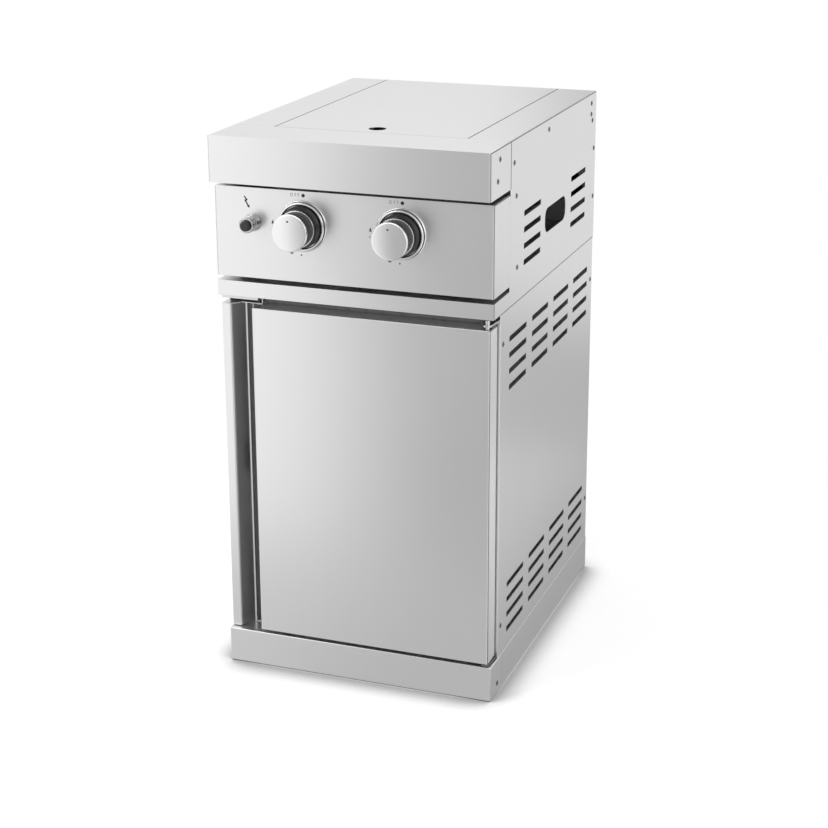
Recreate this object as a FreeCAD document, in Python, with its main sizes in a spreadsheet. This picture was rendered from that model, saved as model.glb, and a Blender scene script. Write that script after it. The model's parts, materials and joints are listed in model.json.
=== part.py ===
import FreeCAD, Part
import math
import os
import Sketcher

# Side burner module of an outdoor kitchen.
# X runs to the right, Y to the back, Z up, in millimetres. Depths are measured back from the front face
# of the front cap, and the origin is on the floor under the middle of the whole object's box.

doc = FreeCAD.newDocument("side_burner_module")
sheet = doc.addObject("Spreadsheet::Sheet", "dims")


class Size:
    """A length that carries its value and its formula in the cells of the sheet."""

    def __init__(self, value, text):
        self.value = value
        self.text = text

    def joined(self, other, sign, value):
        return Size(value, f"({self.text} {sign} {as_size(other).text})")

    def __add__(self, other):
        return self.joined(other, "+", self.value + as_size(other).value)

    def __sub__(self, other):
        return self.joined(other, "-", self.value - as_size(other).value)

    def __mul__(self, other):
        return self.joined(other, "*", self.value * as_size(other).value)

    def __truediv__(self, other):
        return self.joined(other, "/", self.value / as_size(other).value)

    def __radd__(self, other):
        return as_size(other) + self

    def __rsub__(self, other):
        return as_size(other) - self

    def __rmul__(self, other):
        return as_size(other) * self

    def __neg__(self):
        return self * -1


def as_size(number):
    if isinstance(number, Size):
        return number
    return Size(float(number), f"({float(number)})")


def cell(alias, number):
    """Writes one driving dimension into the sheet and returns it as a Size."""
    row = len(CELLS) + 1
    sheet.set(f"A{row}", alias)
    sheet.set(f"B{row}", str(number))
    sheet.setAlias(f"B{row}", alias)
    CELLS.append(alias)
    return Size(float(number), f"dims.{alias}")


CELLS = []

# Overall body
width = cell("width", 460)
depth = cell("depth", 600)
height = cell("height", 900)
skin = cell("skin", 1.2)
seam = cell("seam", 0.6)
gap = cell("moving_gap", 0.3)

# Front, from the top down
cap_height = cell("cap_height", 74)
cap_depth = cell("cap_depth", 100)
cap_lip = cell("cap_lip", 14)
face_setback = cell("face_setback", 19)
shadow_gap = cell("shadow_gap", 8)
panel_height = cell("panel_height", 145)
rail_height = cell("rail_height", 25)
rail_depth = cell("rail_depth", 39.2)
header_height = cell("header_height", 34)
door_reveal = cell("door_reveal", 17)
foot_reveal = cell("foot_reveal", 6)
plinth_height = cell("plinth_height", 60)
plinth_lift = cell("plinth_lift", 2)
plinth_return = cell("plinth_return", 60)
plinth_flange = cell("plinth_flange", 30)

# Top
strip_width = cell("strip_width", 69)
hem_height = cell("hem_height", 16)
lid_seam = cell("lid_seam", 0.8)
lid_rim = cell("lid_rim", 12)
finger_hole_radius = cell("finger_hole_radius", 14)
finger_hole_back = cell("finger_hole_back", 34)

# Vents and hand holes in the sides
slot_length = cell("slot_length", 92)
slot_height = cell("slot_height", 9.2)
slot_corner = cell("slot_corner", 2)
slot_pitch = cell("slot_pitch", 26.4)
upper_slot_first = cell("upper_slot_first", 172)
upper_slot_step = cell("upper_slot_step", 273)
upper_slot_drop = cell("upper_slot_drop", 127)
lower_slot_first = cell("lower_slot_first", 104)
lower_slot_step = cell("lower_slot_step", 123.7)
lower_slot_drop = cell("lower_slot_drop", 53)
lower_slot_rise = cell("lower_slot_rise", 31)
hand_hole_length = cell("hand_hole_length", 122)
hand_hole_height = cell("hand_hole_height", 41)
hand_hole_corner = cell("hand_hole_corner", 16)
hand_hole_middle = cell("hand_hole_middle", 350)
hand_hole_drop = cell("hand_hole_drop", 166)
SLOT_ROWS = 4
UPPER_SLOT_COLUMNS = 2
LOWER_SLOT_COLUMNS = 4

# Lower cabinet
side_inset = cell("side_inset", 1)
frame_front = cell("frame_front", 57)
side_lip = cell("side_lip", 14)
column_setback = cell("column_setback", 29)
column_face = cell("column_face", 15)
column_slant = cell("column_slant", 13)
column_lip = cell("column_lip", 3.2)
column_step = cell("column_step", 22)
stile_width = cell("stile_width", 48)
stile_return = cell("stile_return", 20)

# Door and its pivots
door_left = cell("door_left", 57)
door_right = cell("door_right", 5)
door_thick = cell("door_thick", 34)
door_rim = cell("door_rim", 12)
pivot_inset = cell("pivot_inset", 7)
pivot_back = cell("pivot_back", 7.5)
pin_radius = cell("pin_radius", 3)
pin_play = cell("pin_play", 0.05)
pin_head_radius = cell("pin_head_radius", 3.6)
pin_head_length = cell("pin_head_length", 7)
pin_bite = cell("pin_bite", 14)
bush_wall = cell("bush_wall", 2)
bush_flange = cell("bush_flange", 0.5)
bush_flange_thick = cell("bush_flange_thick", 2)
bush_floor = cell("bush_floor", 2)
bracket_plate = cell("bracket_plate", 3)
bracket_nose = cell("bracket_nose", 7)
bracket_air = cell("bracket_air", 5)
bracket_back = cell("bracket_back", 34)
bracket_width = cell("bracket_width", 26)
bracket_flange = cell("bracket_flange", 30)
bracket_arm = cell("bracket_arm", 14)
stop_reach = cell("stop_reach", 8)
stop_back = cell("stop_back", 16)
stop_height = cell("stop_height", 9)
catch_width = cell("catch_width", 20)
catch_height = cell("catch_height", 48)
strike_thick = cell("strike_thick", 1.5)
catch_inset = cell("catch_inset", 4)
magnet_air = cell("magnet_air", 0.5)

# Knobs and igniter
knob_spread = cell("knob_spread", 163)
knob_drop = cell("knob_drop", 55)
knob_length = cell("knob_length", 55)
knob_push = cell("knob_push", 3)
cap_radius = cell("cap_radius", 29.5)
cap_length = cell("cap_length", 13)
cap_crown = cell("cap_crown", 5)
stem_hold = cell("stem_hold", 1)
grip_radius = cell("grip_radius", 28)
grip_length = cell("grip_length", 28)
skirt_radius = cell("skirt_radius", 33)
skirt_length = cell("skirt_length", 11)
skirt_slope = cell("skirt_slope", 5)
skirt_step = cell("skirt_step", 1.5)
bezel_radius = cell("bezel_radius", 41)
bezel_crest = cell("bezel_crest", 38.6)
bezel_inner = cell("bezel_inner", 34)
bezel_thick = cell("bezel_thick", 8.5)
bezel_flange = cell("bezel_flange", 3)
bezel_round = cell("bezel_round", 1.5)
bezel_foot = cell("bezel_foot", 6)
bezel_foot_thick = cell("bezel_foot_thick", 1)
stem_radius = cell("stem_radius", 4)
stem_play = cell("stem_play", 0.05)
collar_radius = cell("collar_radius", 7)
collar_length = cell("collar_length", 3)
spring_length = cell("spring_length", 12)
igniter_inset = cell("igniter_inset", 65)
igniter_flange = cell("igniter_flange", 13.5)
igniter_barrel = cell("igniter_barrel", 10.5)
igniter_length = cell("igniter_length", 27)
button_radius = cell("button_radius", 8.2)
button_proud = cell("button_proud", 6)
button_push = cell("button_push", 4)
button_shank = cell("button_shank", 12)
igniter_case = cell("igniter_case", 38)
igniter_nut = cell("igniter_nut", 4)

# Gas train
manifold_radius = cell("manifold_radius", 8)
manifold_bore = cell("manifold_bore", 6.5)
manifold_drop = cell("manifold_drop", 30)
valve_width = cell("valve_width", 26)
valve_depth = cell("valve_depth", 40)
valve_height = cell("valve_height", 26)
valve_gap = cell("valve_gap", 3.5)
spud_radius = cell("spud_radius", 3)
spud_length = cell("spud_length", 12)
tube_radius = cell("tube_radius", 11)
tube_wall = cell("tube_wall", 1)
inlet_radius = cell("inlet_radius", 6.58)
inlet_length = cell("inlet_length", 14)
inlet_bore = cell("inlet_bore", 3.2)
inlet_nut = cell("inlet_nut", 10)
inlet_side = cell("inlet_side", 45)
inlet_recess = cell("inlet_recess", 6)
inlet_hole = cell("inlet_hole", 22)
inlet_rise = cell("inlet_rise", 5)
plug_thick = cell("plug_thick", 3)
saddle_radius = cell("saddle_radius", 6)
saddle_wall = cell("saddle_wall", 3)
valve_end = cell("valve_end", 6)
stem_tail = cell("stem_tail", 8)
nut_wall = cell("nut_wall", 5)
manifold_tail = cell("manifold_tail", 30)

# Burners and tray
tray_depth = cell("tray_depth", 70)
tray_ledge = cell("tray_ledge", 8)
burner_front = cell("burner_front", 228)
burner_step = cell("burner_step", 240)
burner_radius = cell("burner_radius", 50)
burner_height = cell("burner_height", 26)
burner_cap_thick = cell("burner_cap_thick", 9)
burner_wall = cell("burner_wall", 6)
burner_foot = cell("burner_foot", 8)
burner_web = cell("burner_web", 12)
support_half = cell("support_half", 104)
support_bar = cell("support_bar", 7)
support_height = cell("support_height", 12)
support_reach = cell("support_reach", 18)
support_step = cell("support_step", 3)
lid_clear = cell("lid_clear", 4)
electrode_gap = cell("electrode_gap", 9)
electrode_tail = cell("electrode_tail", 12)

# Feet and screws
foot_radius = cell("foot_radius", 19)
foot_pad = cell("foot_pad", 8)
foot_stud_radius = cell("foot_stud_radius", 4)
foot_inset = cell("foot_inset", 42)
foot_front = cell("foot_front", 12)
foot_nut = cell("foot_nut", 8)
screw_head_radius = cell("screw_head_radius", 3.4)
screw_head = cell("screw_head", 1.1)
screw_radius = cell("screw_radius", 1.5)
screw_length = cell("screw_length", 7)
screw_play = cell("screw_play", 0.1)

# Levels and faces worked out from the driving dimensions
half = width / 2
cap_bottom = height - cap_height
panel_top = cap_bottom - shadow_gap
panel_bottom = panel_top - panel_height
rail_top = panel_bottom - shadow_gap
rail_bottom = rail_top - rail_height
door_top = rail_bottom - door_reveal
door_bottom = plinth_height + foot_reveal
top_under = height - skin
knob_level = panel_top - knob_drop
knob_face = face_setback - knob_length
middle_y = (depth + knob_face) / 2
side_face = half - side_inset
strip_edge = half - strip_width
lid_half = strip_edge - lid_seam
tray_top = top_under - lid_rim - gap
tray_bottom = tray_top - tray_depth
column_left = as_size(0) - side_face
door_x0 = door_left - half
door_x1 = half - door_right
door_back = face_setback + door_thick
pivot_x = door_x1 - pivot_inset
pivot_y = face_setback + pivot_back
valve_front = face_setback + skin + valve_gap
valve_back = valve_front + valve_depth
lip_x = column_left + column_face + column_slant + column_lip
stop_x = door_x0 + stop_reach
floor_top = plinth_height + skin
bracket_z = door_top + bracket_air
stem_start = knob_face + cap_length - stem_hold
manifold_level = knob_level - manifold_drop
manifold_y = valve_front + valve_depth / 2
manifold_x0 = as_size(0) - knob_spread / 2 - manifold_tail
inlet_x = half - inlet_side
inlet_seat = depth - inlet_recess - inlet_length
manifold_end = inlet_seat - inlet_nut - inlet_rise

PARTS = []


def bind(thing, name, size):
    """Ties one property or sketch constraint to its formula in the sheet."""
    thing.setExpression(name, as_size(size).text)


def place(thing, x, y, z):
    bind(thing, "Placement.Base.x", x)
    bind(thing, "Placement.Base.y", as_size(y) - middle_y)
    bind(thing, "Placement.Base.z", z)


def keep(thing, label):
    """Marks an object as one finished piece, under the name of its file."""
    thing.Label = label
    PARTS.append(thing)
    return thing


def box(x0, x1, y0, y1, z0, z1):
    solid = doc.addObject("Part::Box", "block")
    bind(solid, "Length", as_size(x1) - x0)
    bind(solid, "Width", as_size(y1) - y0)
    bind(solid, "Height", as_size(z1) - z0)
    place(solid, x0, y0, z0)
    return solid


TURNS = {
    "x": FreeCAD.Rotation(FreeCAD.Vector(0, 1, 0), 90),
    "y": FreeCAD.Rotation(FreeCAD.Vector(1, 0, 0), -90),
    "z": FreeCAD.Rotation(),
}


def rod(axis, x, y, z, radius, length):
    """A cylinder that starts at x, y, z and runs along the axis."""
    solid = doc.addObject("Part::Cylinder", "rod")
    bind(solid, "Radius", radius)
    bind(solid, "Height", length)
    solid.Placement = FreeCAD.Placement(FreeCAD.Vector(0, 0, 0), TURNS[axis])
    place(solid, x, y, z)
    return solid


def ball(x, y, z, radius):
    solid = doc.addObject("Part::Sphere", "ball")
    bind(solid, "Radius", radius)
    place(solid, x, y, z)
    return solid


def fuse(*solids):
    if len(solids) == 1:
        return solids[0]
    joined = doc.addObject("Part::MultiFuse", "joined")
    joined.Shapes = list(solids)
    joined.Refine = True
    return joined


def group(*solids):
    """Separate solids that share one file."""
    together = doc.addObject("Part::Compound", "together")
    together.Links = list(solids)
    return together


def cut(base, *tools):
    for tool in tools:
        done = doc.addObject("Part::Cut", "cut")
        done.Base = base
        done.Tool = tool
        base = done
    return base


def body_sketch(body, role):
    sketch = body.newObject("Sketcher::SketchObject", "sketch")
    plane = [f for f in body.Origin.OriginFeatures if f.Role == role][0]
    sketch.AttachmentSupport = [(plane, "")]
    sketch.MapMode = "FlatFace"
    return sketch


def fix_point(sketch, geometry, end, u, v):
    """Holds one end point of a sketch element at u, v from the sketch's origin."""
    for kind, size in (("DistanceX", u), ("DistanceY", v)):
        number = as_size(size).value
        if abs(number) < 1e-9:
            other = "PointOnObject"
            axis = -2 if kind == "DistanceX" else -1
            sketch.addConstraint(Sketcher.Constraint(other, geometry, end, axis))
            continue
        index = sketch.addConstraint(Sketcher.Constraint(kind, -1, 1, geometry, end, number))
        bind(sketch, f"Constraints[{index}]", size)


def polygon(sketch, points):
    """A closed outline of straight lines through points that are given as Sizes."""
    ends = [FreeCAD.Vector(as_size(u).value, as_size(v).value, 0) for u, v in points]
    count = len(points)
    for i in range(count):
        sketch.addGeometry(Part.LineSegment(ends[i], ends[(i + 1) % count]), False)
    for i in range(count):
        sketch.addConstraint(Sketcher.Constraint("Coincident", i, 2, (i + 1) % count, 1))
    for i, (u, v) in enumerate(points):
        fix_point(sketch, i, 1, u, v)


def lathe(label, role, x, y, z, points):
    """A turned piece: the outline's u is the radius and its v runs along the axis."""
    body = doc.addObject("PartDesign::Body", label + "_body")
    sketch = body_sketch(body, role)
    polygon(sketch, points)
    turned = body.newObject("PartDesign::Revolution", "turned")
    turned.Profile = sketch
    turned.ReferenceAxis = (sketch, ["V_Axis"])
    turned.Angle = 360
    body.Tip = turned
    place(body, x, y, z)
    return body


def extrude(label, role, x, y, z, points, length):
    body = doc.addObject("PartDesign::Body", label + "_body")
    sketch = body_sketch(body, role)
    polygon(sketch, points)
    pad = body.newObject("PartDesign::Pad", "pad")
    pad.Profile = sketch
    bind(pad, "Length", length)
    body.Tip = pad
    place(body, x, y, z)
    return body


def rounded_outline(sketch, u0, u1, v0, v1, radius):
    """A rectangle with round corners."""
    a, b, c, d = (as_size(s).value for s in (u0, u1, v0, v1))
    r = as_size(radius).value
    vector = FreeCAD.Vector
    up = vector(0, 0, 1)
    turn = math.pi / 2

    def arc(u, v, start):
        return Part.ArcOfCircle(Part.Circle(vector(u, v, 0), up, r), start, start + turn)

    pieces = [
        Part.LineSegment(vector(a + r, c, 0), vector(b - r, c, 0)),
        arc(b - r, c + r, -turn),
        Part.LineSegment(vector(b, c + r, 0), vector(b, d - r, 0)),
        arc(b - r, d - r, 0),
        Part.LineSegment(vector(b - r, d, 0), vector(a + r, d, 0)),
        arc(a + r, d - r, turn),
        Part.LineSegment(vector(a, d - r, 0), vector(a, c + r, 0)),
        arc(a + r, c + r, 2 * turn),
    ]
    centres = {
        1: (u1 - radius, v0 + radius),
        3: (u1 - radius, v1 - radius),
        5: (u0 + radius, v1 - radius),
        7: (u0 + radius, v0 + radius),
    }
    first = sketch.GeometryCount
    for piece in pieces:
        sketch.addGeometry(piece, False)
    count = len(pieces)
    for i in range(count):
        after = first + (i + 1) % count
        sketch.addConstraint(Sketcher.Constraint("Tangent", first + i, 2, after, 1))
    for i, (u, v) in centres.items():
        fix_point(sketch, first + i, 3, u, v)
    index = sketch.addConstraint(Sketcher.Constraint("Radius", first + 1, r))
    bind(sketch, f"Constraints[{index}]", radius)
    for i in list(centres)[1:]:
        sketch.addConstraint(Sketcher.Constraint("Equal", first + 1, first + i))


def pocket(body, sketch, wall):
    """Cuts a sketch through a wall that stands on the side its plane faces."""
    doc.recompute()
    before = body.Shape.Volume
    hole = body.newObject("PartDesign::Pocket", "hole")
    hole.Profile = sketch
    hole.Reversed = True
    bind(hole, "Length", as_size(wall) * 2)
    body.Tip = hole
    doc.recompute()
    if body.Shape.Volume >= before:
        raise RuntimeError("a pocket cut nothing in " + body.Label)
    return hole


def slot_field(body, u0, v_top, columns, step):
    """A grid of vents: one column in the sketch, repeated back along the wall."""
    sketch = body_sketch(body, "YZ_Plane")
    for row in range(SLOT_ROWS):
        high = v_top - slot_pitch * row
        rounded_outline(sketch, u0, u0 + slot_length, high - slot_height, high, slot_corner)
    hole = pocket(body, sketch, skin)
    before = body.Shape.Volume
    grid = body.newObject("PartDesign::LinearPattern", "grid")
    grid.Originals = [hole]
    grid.Direction = (sketch, ["H_Axis"])
    grid.Mode = "Spacing"
    bind(grid, "Offset", step)
    grid.Occurrences = columns
    body.Tip = grid
    doc.recompute()
    if body.Shape.Volume >= before:
        raise RuntimeError("a grid cut nothing in " + body.Label)


def wall_x(side, outer):
    """The low X of a side wall whose outer face is at that distance from the middle."""
    return outer - skin if side > 0 else -outer


def span(side, inner, outer):
    """Low and high X of a stretch between two distances from the middle, on one side."""
    inner, outer = as_size(inner), as_size(outer)
    return (inner, outer) if side > 0 else (-outer, -inner)


# Screws show on both sides. Each place is a distance back and a height.
cap_screws = [
    (cap_depth * 0.45, height - 17),
    (cap_depth * 0.35, cap_bottom + 25),
]
upper_screws = [
    (cap_depth + 17, height - 36),
    (cap_depth + 30, panel_top - 8),
    (cap_depth + 37, panel_bottom + 22),
    (depth / 2 + 5, height - 17),
    (depth - 31, height - 17),
    (depth - 31, height - 36),
    (depth - 23, height - 48),
    (depth - 10, height - 99),
    (depth - 10, rail_bottom + 75),
]
lower_screws = [
    (frame_front + 15, rail_bottom - 52),
    (frame_front + 15, plinth_height + 52),
    (depth - 10, rail_bottom - 78),
    (depth - 10, plinth_height + 81),
]
plinth_screws = [(face_setback + 35, plinth_height * 0.3)]


def screw_holes(side, outer, places):
    inner, outer = span(side, outer - skin * 2, outer + skin)
    return [rod("x", inner, y, z, screw_radius + screw_play, outer - inner) for y, z in places]


def screws(side, outer, places):
    solids = []
    for y, z in places:
        x0, x1 = span(side, outer, outer + screw_head)
        head = rod("x", x0, y, z, screw_head_radius, x1 - x0)
        x0, x1 = span(side, outer - screw_length, outer + screw_head / 2)
        solids.append(fuse(head, rod("x", x0, y, z, screw_radius, x1 - x0)))
    return solids


def front_cap():
    outer = box(-half, half, 0, cap_depth, cap_bottom, height)
    hollow = box(skin - half, half - skin, skin, cap_depth + 1, cap_bottom - 1, top_under)
    hem = box(-strip_edge, strip_edge, cap_depth - skin, cap_depth, height - hem_height, top_under)
    lip = box(skin - half, half - skin, skin, skin + cap_lip, cap_bottom, cap_bottom + skin)
    holes = screw_holes(1, half, cap_screws) + screw_holes(-1, half, cap_screws)
    keep(cut(fuse(cut(outer, hollow), hem, lip), *holes), "front_cap")


def control_panel():
    back = cap_depth - seam
    outer = box(-half, half, face_setback, back, panel_bottom, panel_top)
    x0 = skin - half
    hollow = box(x0, -x0, face_setback + skin, depth, panel_bottom + skin, panel_top - skin)
    holes = []
    for side in (-1, 1):
        x = knob_spread / 2 * side
        holes.append(rod("y", x, face_setback - 1, knob_level, collar_radius + 1, skin + 2))
    x = igniter_inset - half
    holes.append(rod("y", x, face_setback - 1, knob_level, igniter_barrel - 2, skin + 2))
    keep(cut(outer, hollow, *holes), "control_panel")


def cross_rail():
    back = face_setback + rail_depth
    face = box(-half, half, face_setback, face_setback + skin, rail_bottom, rail_top)
    inner = half - skin
    top = box(-inner, inner, face_setback + skin, back, rail_top - skin, rail_top)
    under = box(-inner, inner, face_setback + skin, back, rail_bottom, rail_bottom + skin)
    header_x0 = stop_x + seam
    header_x1 = side_face - skin - bracket_width - seam
    low = rail_bottom - header_height
    header = box(header_x0, header_x1, back - skin, back, low, rail_bottom)
    keep(fuse(face, top, under, header), "cross_rail")


def upper_side(side, label):
    """One folded sheet: wall with a forward tongue, top strip and turned down hem."""
    tongue = face_setback + skin
    outline = [
        (cap_depth, top_under),
        (cap_depth, rail_top),
        (tongue, rail_top),
        (tongue, rail_bottom),
        (depth, rail_bottom),
        (depth, top_under),
    ]
    wall = extrude(label, "YZ_Plane", wall_x(side, half), 0, 0, outline, skin)
    v = height - upper_slot_drop + slot_height / 2
    slot_field(wall, upper_slot_first, v, UPPER_SLOT_COLUMNS, upper_slot_step)
    sketch = body_sketch(wall, "YZ_Plane")
    u0 = hand_hole_middle - hand_hole_length / 2
    v0 = height - hand_hole_drop - hand_hole_height / 2
    rounded_outline(sketch, u0, u0 + hand_hole_length, v0, v0 + hand_hole_height, hand_hole_corner)
    pocket(wall, sketch, skin)
    strip = box(*span(side, strip_edge, half), cap_depth, depth, top_under, height)
    hem_x = span(side, strip_edge, strip_edge + skin)
    hem = box(*hem_x, cap_depth, depth - skin, height - hem_height, top_under)
    keep(cut(fuse(wall, strip, hem), *screw_holes(side, half, upper_screws)), label)


def upper_back():
    inner = half - skin
    panel = box(-inner, inner, depth - skin, depth, rail_bottom, top_under - gap)
    hole = rod("y", inlet_x, depth - skin * 2, manifold_level, inlet_hole, skin * 3)
    keep(cut(panel, hole), "upper_back")


def burner_tray():
    front = cap_depth
    back = depth - skin * 2
    inner = strip_edge - skin
    outer = box(-strip_edge, strip_edge, front, back, tray_bottom, tray_top)
    hollow = box(-inner, inner, front + skin, back - skin, tray_bottom + skin, tray_top + 1)
    ledge = strip_edge - tray_ledge
    rim = box(-inner, inner, front + skin, back - skin, tray_top - skin, tray_top)
    mouth = box(-ledge, ledge, front + tray_ledge, back - tray_ledge, tray_top - 5, tray_top + 1)
    necks = [
        rod("z", 0, y, tray_bottom - 1, tube_radius + gap, skin + 2)
        for y in (burner_front, burner_front + burner_step)
    ]
    rods = [
        rod("z", x, y, tray_bottom - 1, spud_radius + gap, skin + 2) for x, y in electrode_places()
    ]
    keep(cut(fuse(cut(outer, hollow), cut(rim, mouth)), *necks, *rods), "burner_tray")


def lid():
    front = cap_depth + lid_seam
    back = depth
    plate = box(-lid_half, lid_half, front, back, top_under, height)
    rim_back = depth - skin * 2 - tray_ledge / 2
    outer = box(-lid_half, lid_half, front, rim_back, top_under - lid_rim, top_under)
    inner = lid_half - skin
    hollow = box(-inner, inner, front + skin, rim_back - skin, top_under - lid_rim - 1, top_under)
    y = cap_depth + finger_hole_back
    hole = rod("z", 0, y, top_under - 1, finger_hole_radius, skin + 2)
    keep(cut(fuse(plate, cut(outer, hollow)), hole), "lid")


def electrode_places():
    x = burner_radius + electrode_gap
    return [(x, burner_front), (x, burner_front + burner_step)]


def burner(name, y, side):
    """Burner head and cap on the tray, and the mixing tube that feeds it from its valve."""
    seat = tray_bottom + skin
    head = lathe(
        name + "_burner_head",
        "XZ_Plane",
        0,
        y,
        seat,
        [
            (tube_radius - tube_wall, 0),
            (burner_radius - burner_foot, 0),
            (burner_radius - burner_foot, burner_web / 2),
            (burner_radius, burner_web),
            (burner_radius, burner_height),
            (burner_radius - burner_wall, burner_height),
            (burner_radius - burner_wall * 1.5, burner_web),
            (tube_radius - tube_wall, burner_web),
        ],
    )
    keep(head, name + "_burner_head")
    cap = lathe(
        name + "_burner_cap",
        "XZ_Plane",
        0,
        y,
        seat + burner_height,
        [
            (0, 0),
            (burner_radius - 2, 0),
            (burner_radius - 2, 4),
            (burner_radius - burner_foot, burner_cap_thick),
            (0, burner_cap_thick),
        ],
    )
    keep(cap, name + "_burner_cap")
    x = knob_spread / 2 * side
    mouth = valve_back + spud_length / 2
    bore = tube_radius - tube_wall
    neck = tray_bottom + skin - knob_level

    def tube(radius, extra):
        run = rod("y", x, mouth - extra, knob_level, radius, y - mouth + extra)
        cross = rod("x", x if side < 0 else 0, y, knob_level, radius, knob_spread / 2)
        rise = rod("z", 0, y, knob_level, radius, neck + extra)
        corners = [ball(corner_x, y, knob_level, radius) for corner_x in (x, 0)]
        return fuse(run, cross, rise, *corners)

    keep(cut(tube(tube_radius, 0), tube(bore, 1)), name + "_mixing_tube")


def pot_support(name, y):
    """Cast frame on four legs, with four fingers that reach over the burner."""
    top = top_under - lid_clear
    low = top - support_height
    high = top - support_step
    outer = box(-support_half, support_half, y - support_half, y + support_half, low, high)
    inner = support_half - support_bar
    window = box(-inner, inner, y - inner, y + inner, low - 1, top)
    tip = support_reach
    bar = support_bar / 2
    arms = [
        box(tip, support_half, y - bar, y + bar, low, top),
        box(-support_half, -tip, y - bar, y + bar, low, top),
        box(-bar, bar, y + tip, y + support_half, low, top),
        box(-bar, bar, y - support_half, y - tip, low, top),
    ]
    legs = []
    for u in (-support_half, inner):
        for v in (-support_half, inner):
            u1, v1 = u + support_bar, y + v + support_bar
            legs.append(box(u, u1, y + v, v1, tray_bottom + skin, low))
    keep(fuse(cut(outer, window), *arms, *legs), name + "_pot_support")


def spark_electrodes():
    solids = []
    for x, y in electrode_places():
        length = burner_height + electrode_tail
        stem = rod("z", x, y, tray_bottom - electrode_tail, spud_radius, length)
        nut = rod("z", x, y, tray_bottom + skin, spud_radius + skin * 2, skin * 3)
        solids.append(fuse(stem, nut, rod("z", x, y, tray_bottom, skin, burner_height + skin * 6)))
    keep(group(*solids), "spark_electrodes")


def box_floor():
    inner = half - skin
    y0 = face_setback + rail_depth
    floor = box(-inner, inner, y0, depth - skin, rail_top - skin, rail_top)
    hem = box(-inner, inner, depth - skin * 2, depth - skin, rail_bottom, rail_top - skin)
    keep(fuse(floor, hem), "burner_box_floor")


def manifold():
    """Tube under both valves, closed at its left end, that runs back to the inlet behind."""

    def pipe(radius, x0, end):
        across = rod("x", x0, manifold_y, manifold_level, radius, inlet_x - x0)
        back = rod("y", inlet_x, manifold_y, manifold_level, radius, end - manifold_y)
        return fuse(across, back, ball(inlet_x, manifold_y, manifold_level, radius))

    outer = pipe(manifold_radius, manifold_x0, manifold_end)
    bore = pipe(manifold_bore, manifold_x0 + plug_thick, manifold_end + 1)
    keep(cut(outer, bore), "gas_manifold")

    def ring(y, radius, length):
        return rod("y", inlet_x, y, manifold_level, radius, length)

    collar = ring(manifold_end, manifold_radius, inlet_rise + 1)
    nut = ring(inlet_seat - inlet_nut, manifold_radius + nut_wall, inlet_nut)
    thread = ring(inlet_seat - 1, inlet_radius, inlet_length + 1)
    bore = ring(manifold_end - 1, inlet_bore, depth - manifold_end)
    keep(cut(fuse(thread, collar, nut), bore), "gas_inlet_fitting")


def valve(name, side):
    """Valve body on the manifold, its sprung stem and the spud that feeds the mixing tube."""
    x = knob_spread / 2 * side
    z0 = knob_level - valve_height / 2
    w = valve_width / 2
    block = box(x - w, x + w, valve_front, valve_back, z0, z0 + valve_height)
    saddle_low = manifold_level + manifold_radius
    saddle = rod("z", x, manifold_y, saddle_low - 1, saddle_radius, z0 - saddle_low + 2)
    ring = rod("x", x - w, manifold_y, manifold_level, manifold_radius + saddle_wall, valve_width)
    ring_bore = rod("x", x - w - 1, manifold_y, manifold_level, manifold_radius, valve_width + 2)
    spud = rod("y", x, valve_back - 1, knob_level, spud_radius, spud_length + 1)
    chamber = collar_radius + gap
    chamber_length = knob_push + collar_length + spring_length + gap * 2
    room = rod("y", x, valve_front - 1, knob_level, chamber, chamber_length + 1)
    bore = stem_radius + stem_play
    guide = rod("y", x, valve_front, knob_level, bore, valve_depth - valve_end)
    keep(cut(fuse(block, cut(fuse(saddle, ring), ring_bore), spud), room, guide), name + "_valve")

    tail = chamber_length + stem_tail
    stem = rod("y", x, stem_start, knob_level, stem_radius, valve_front + tail - stem_start)
    keep(stem, name + "_valve_stem")
    collar_y = valve_front + gap
    ring_outer = rod("y", x, collar_y, knob_level, collar_radius, collar_length)
    ring_inner = rod("y", x, collar_y - 1, knob_level, stem_radius + stem_play, collar_length + 2)
    keep(cut(ring_outer, ring_inner), name + "_thrust_collar")
    spring_y = collar_y + collar_length
    coil = rod("y", x, spring_y, knob_level, collar_radius - 0.6, spring_length)
    hole = rod("y", x, spring_y - 1, knob_level, stem_radius + 0.8, spring_length + 2)
    keep(cut(coil, hole), name + "_valve_spring")


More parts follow.
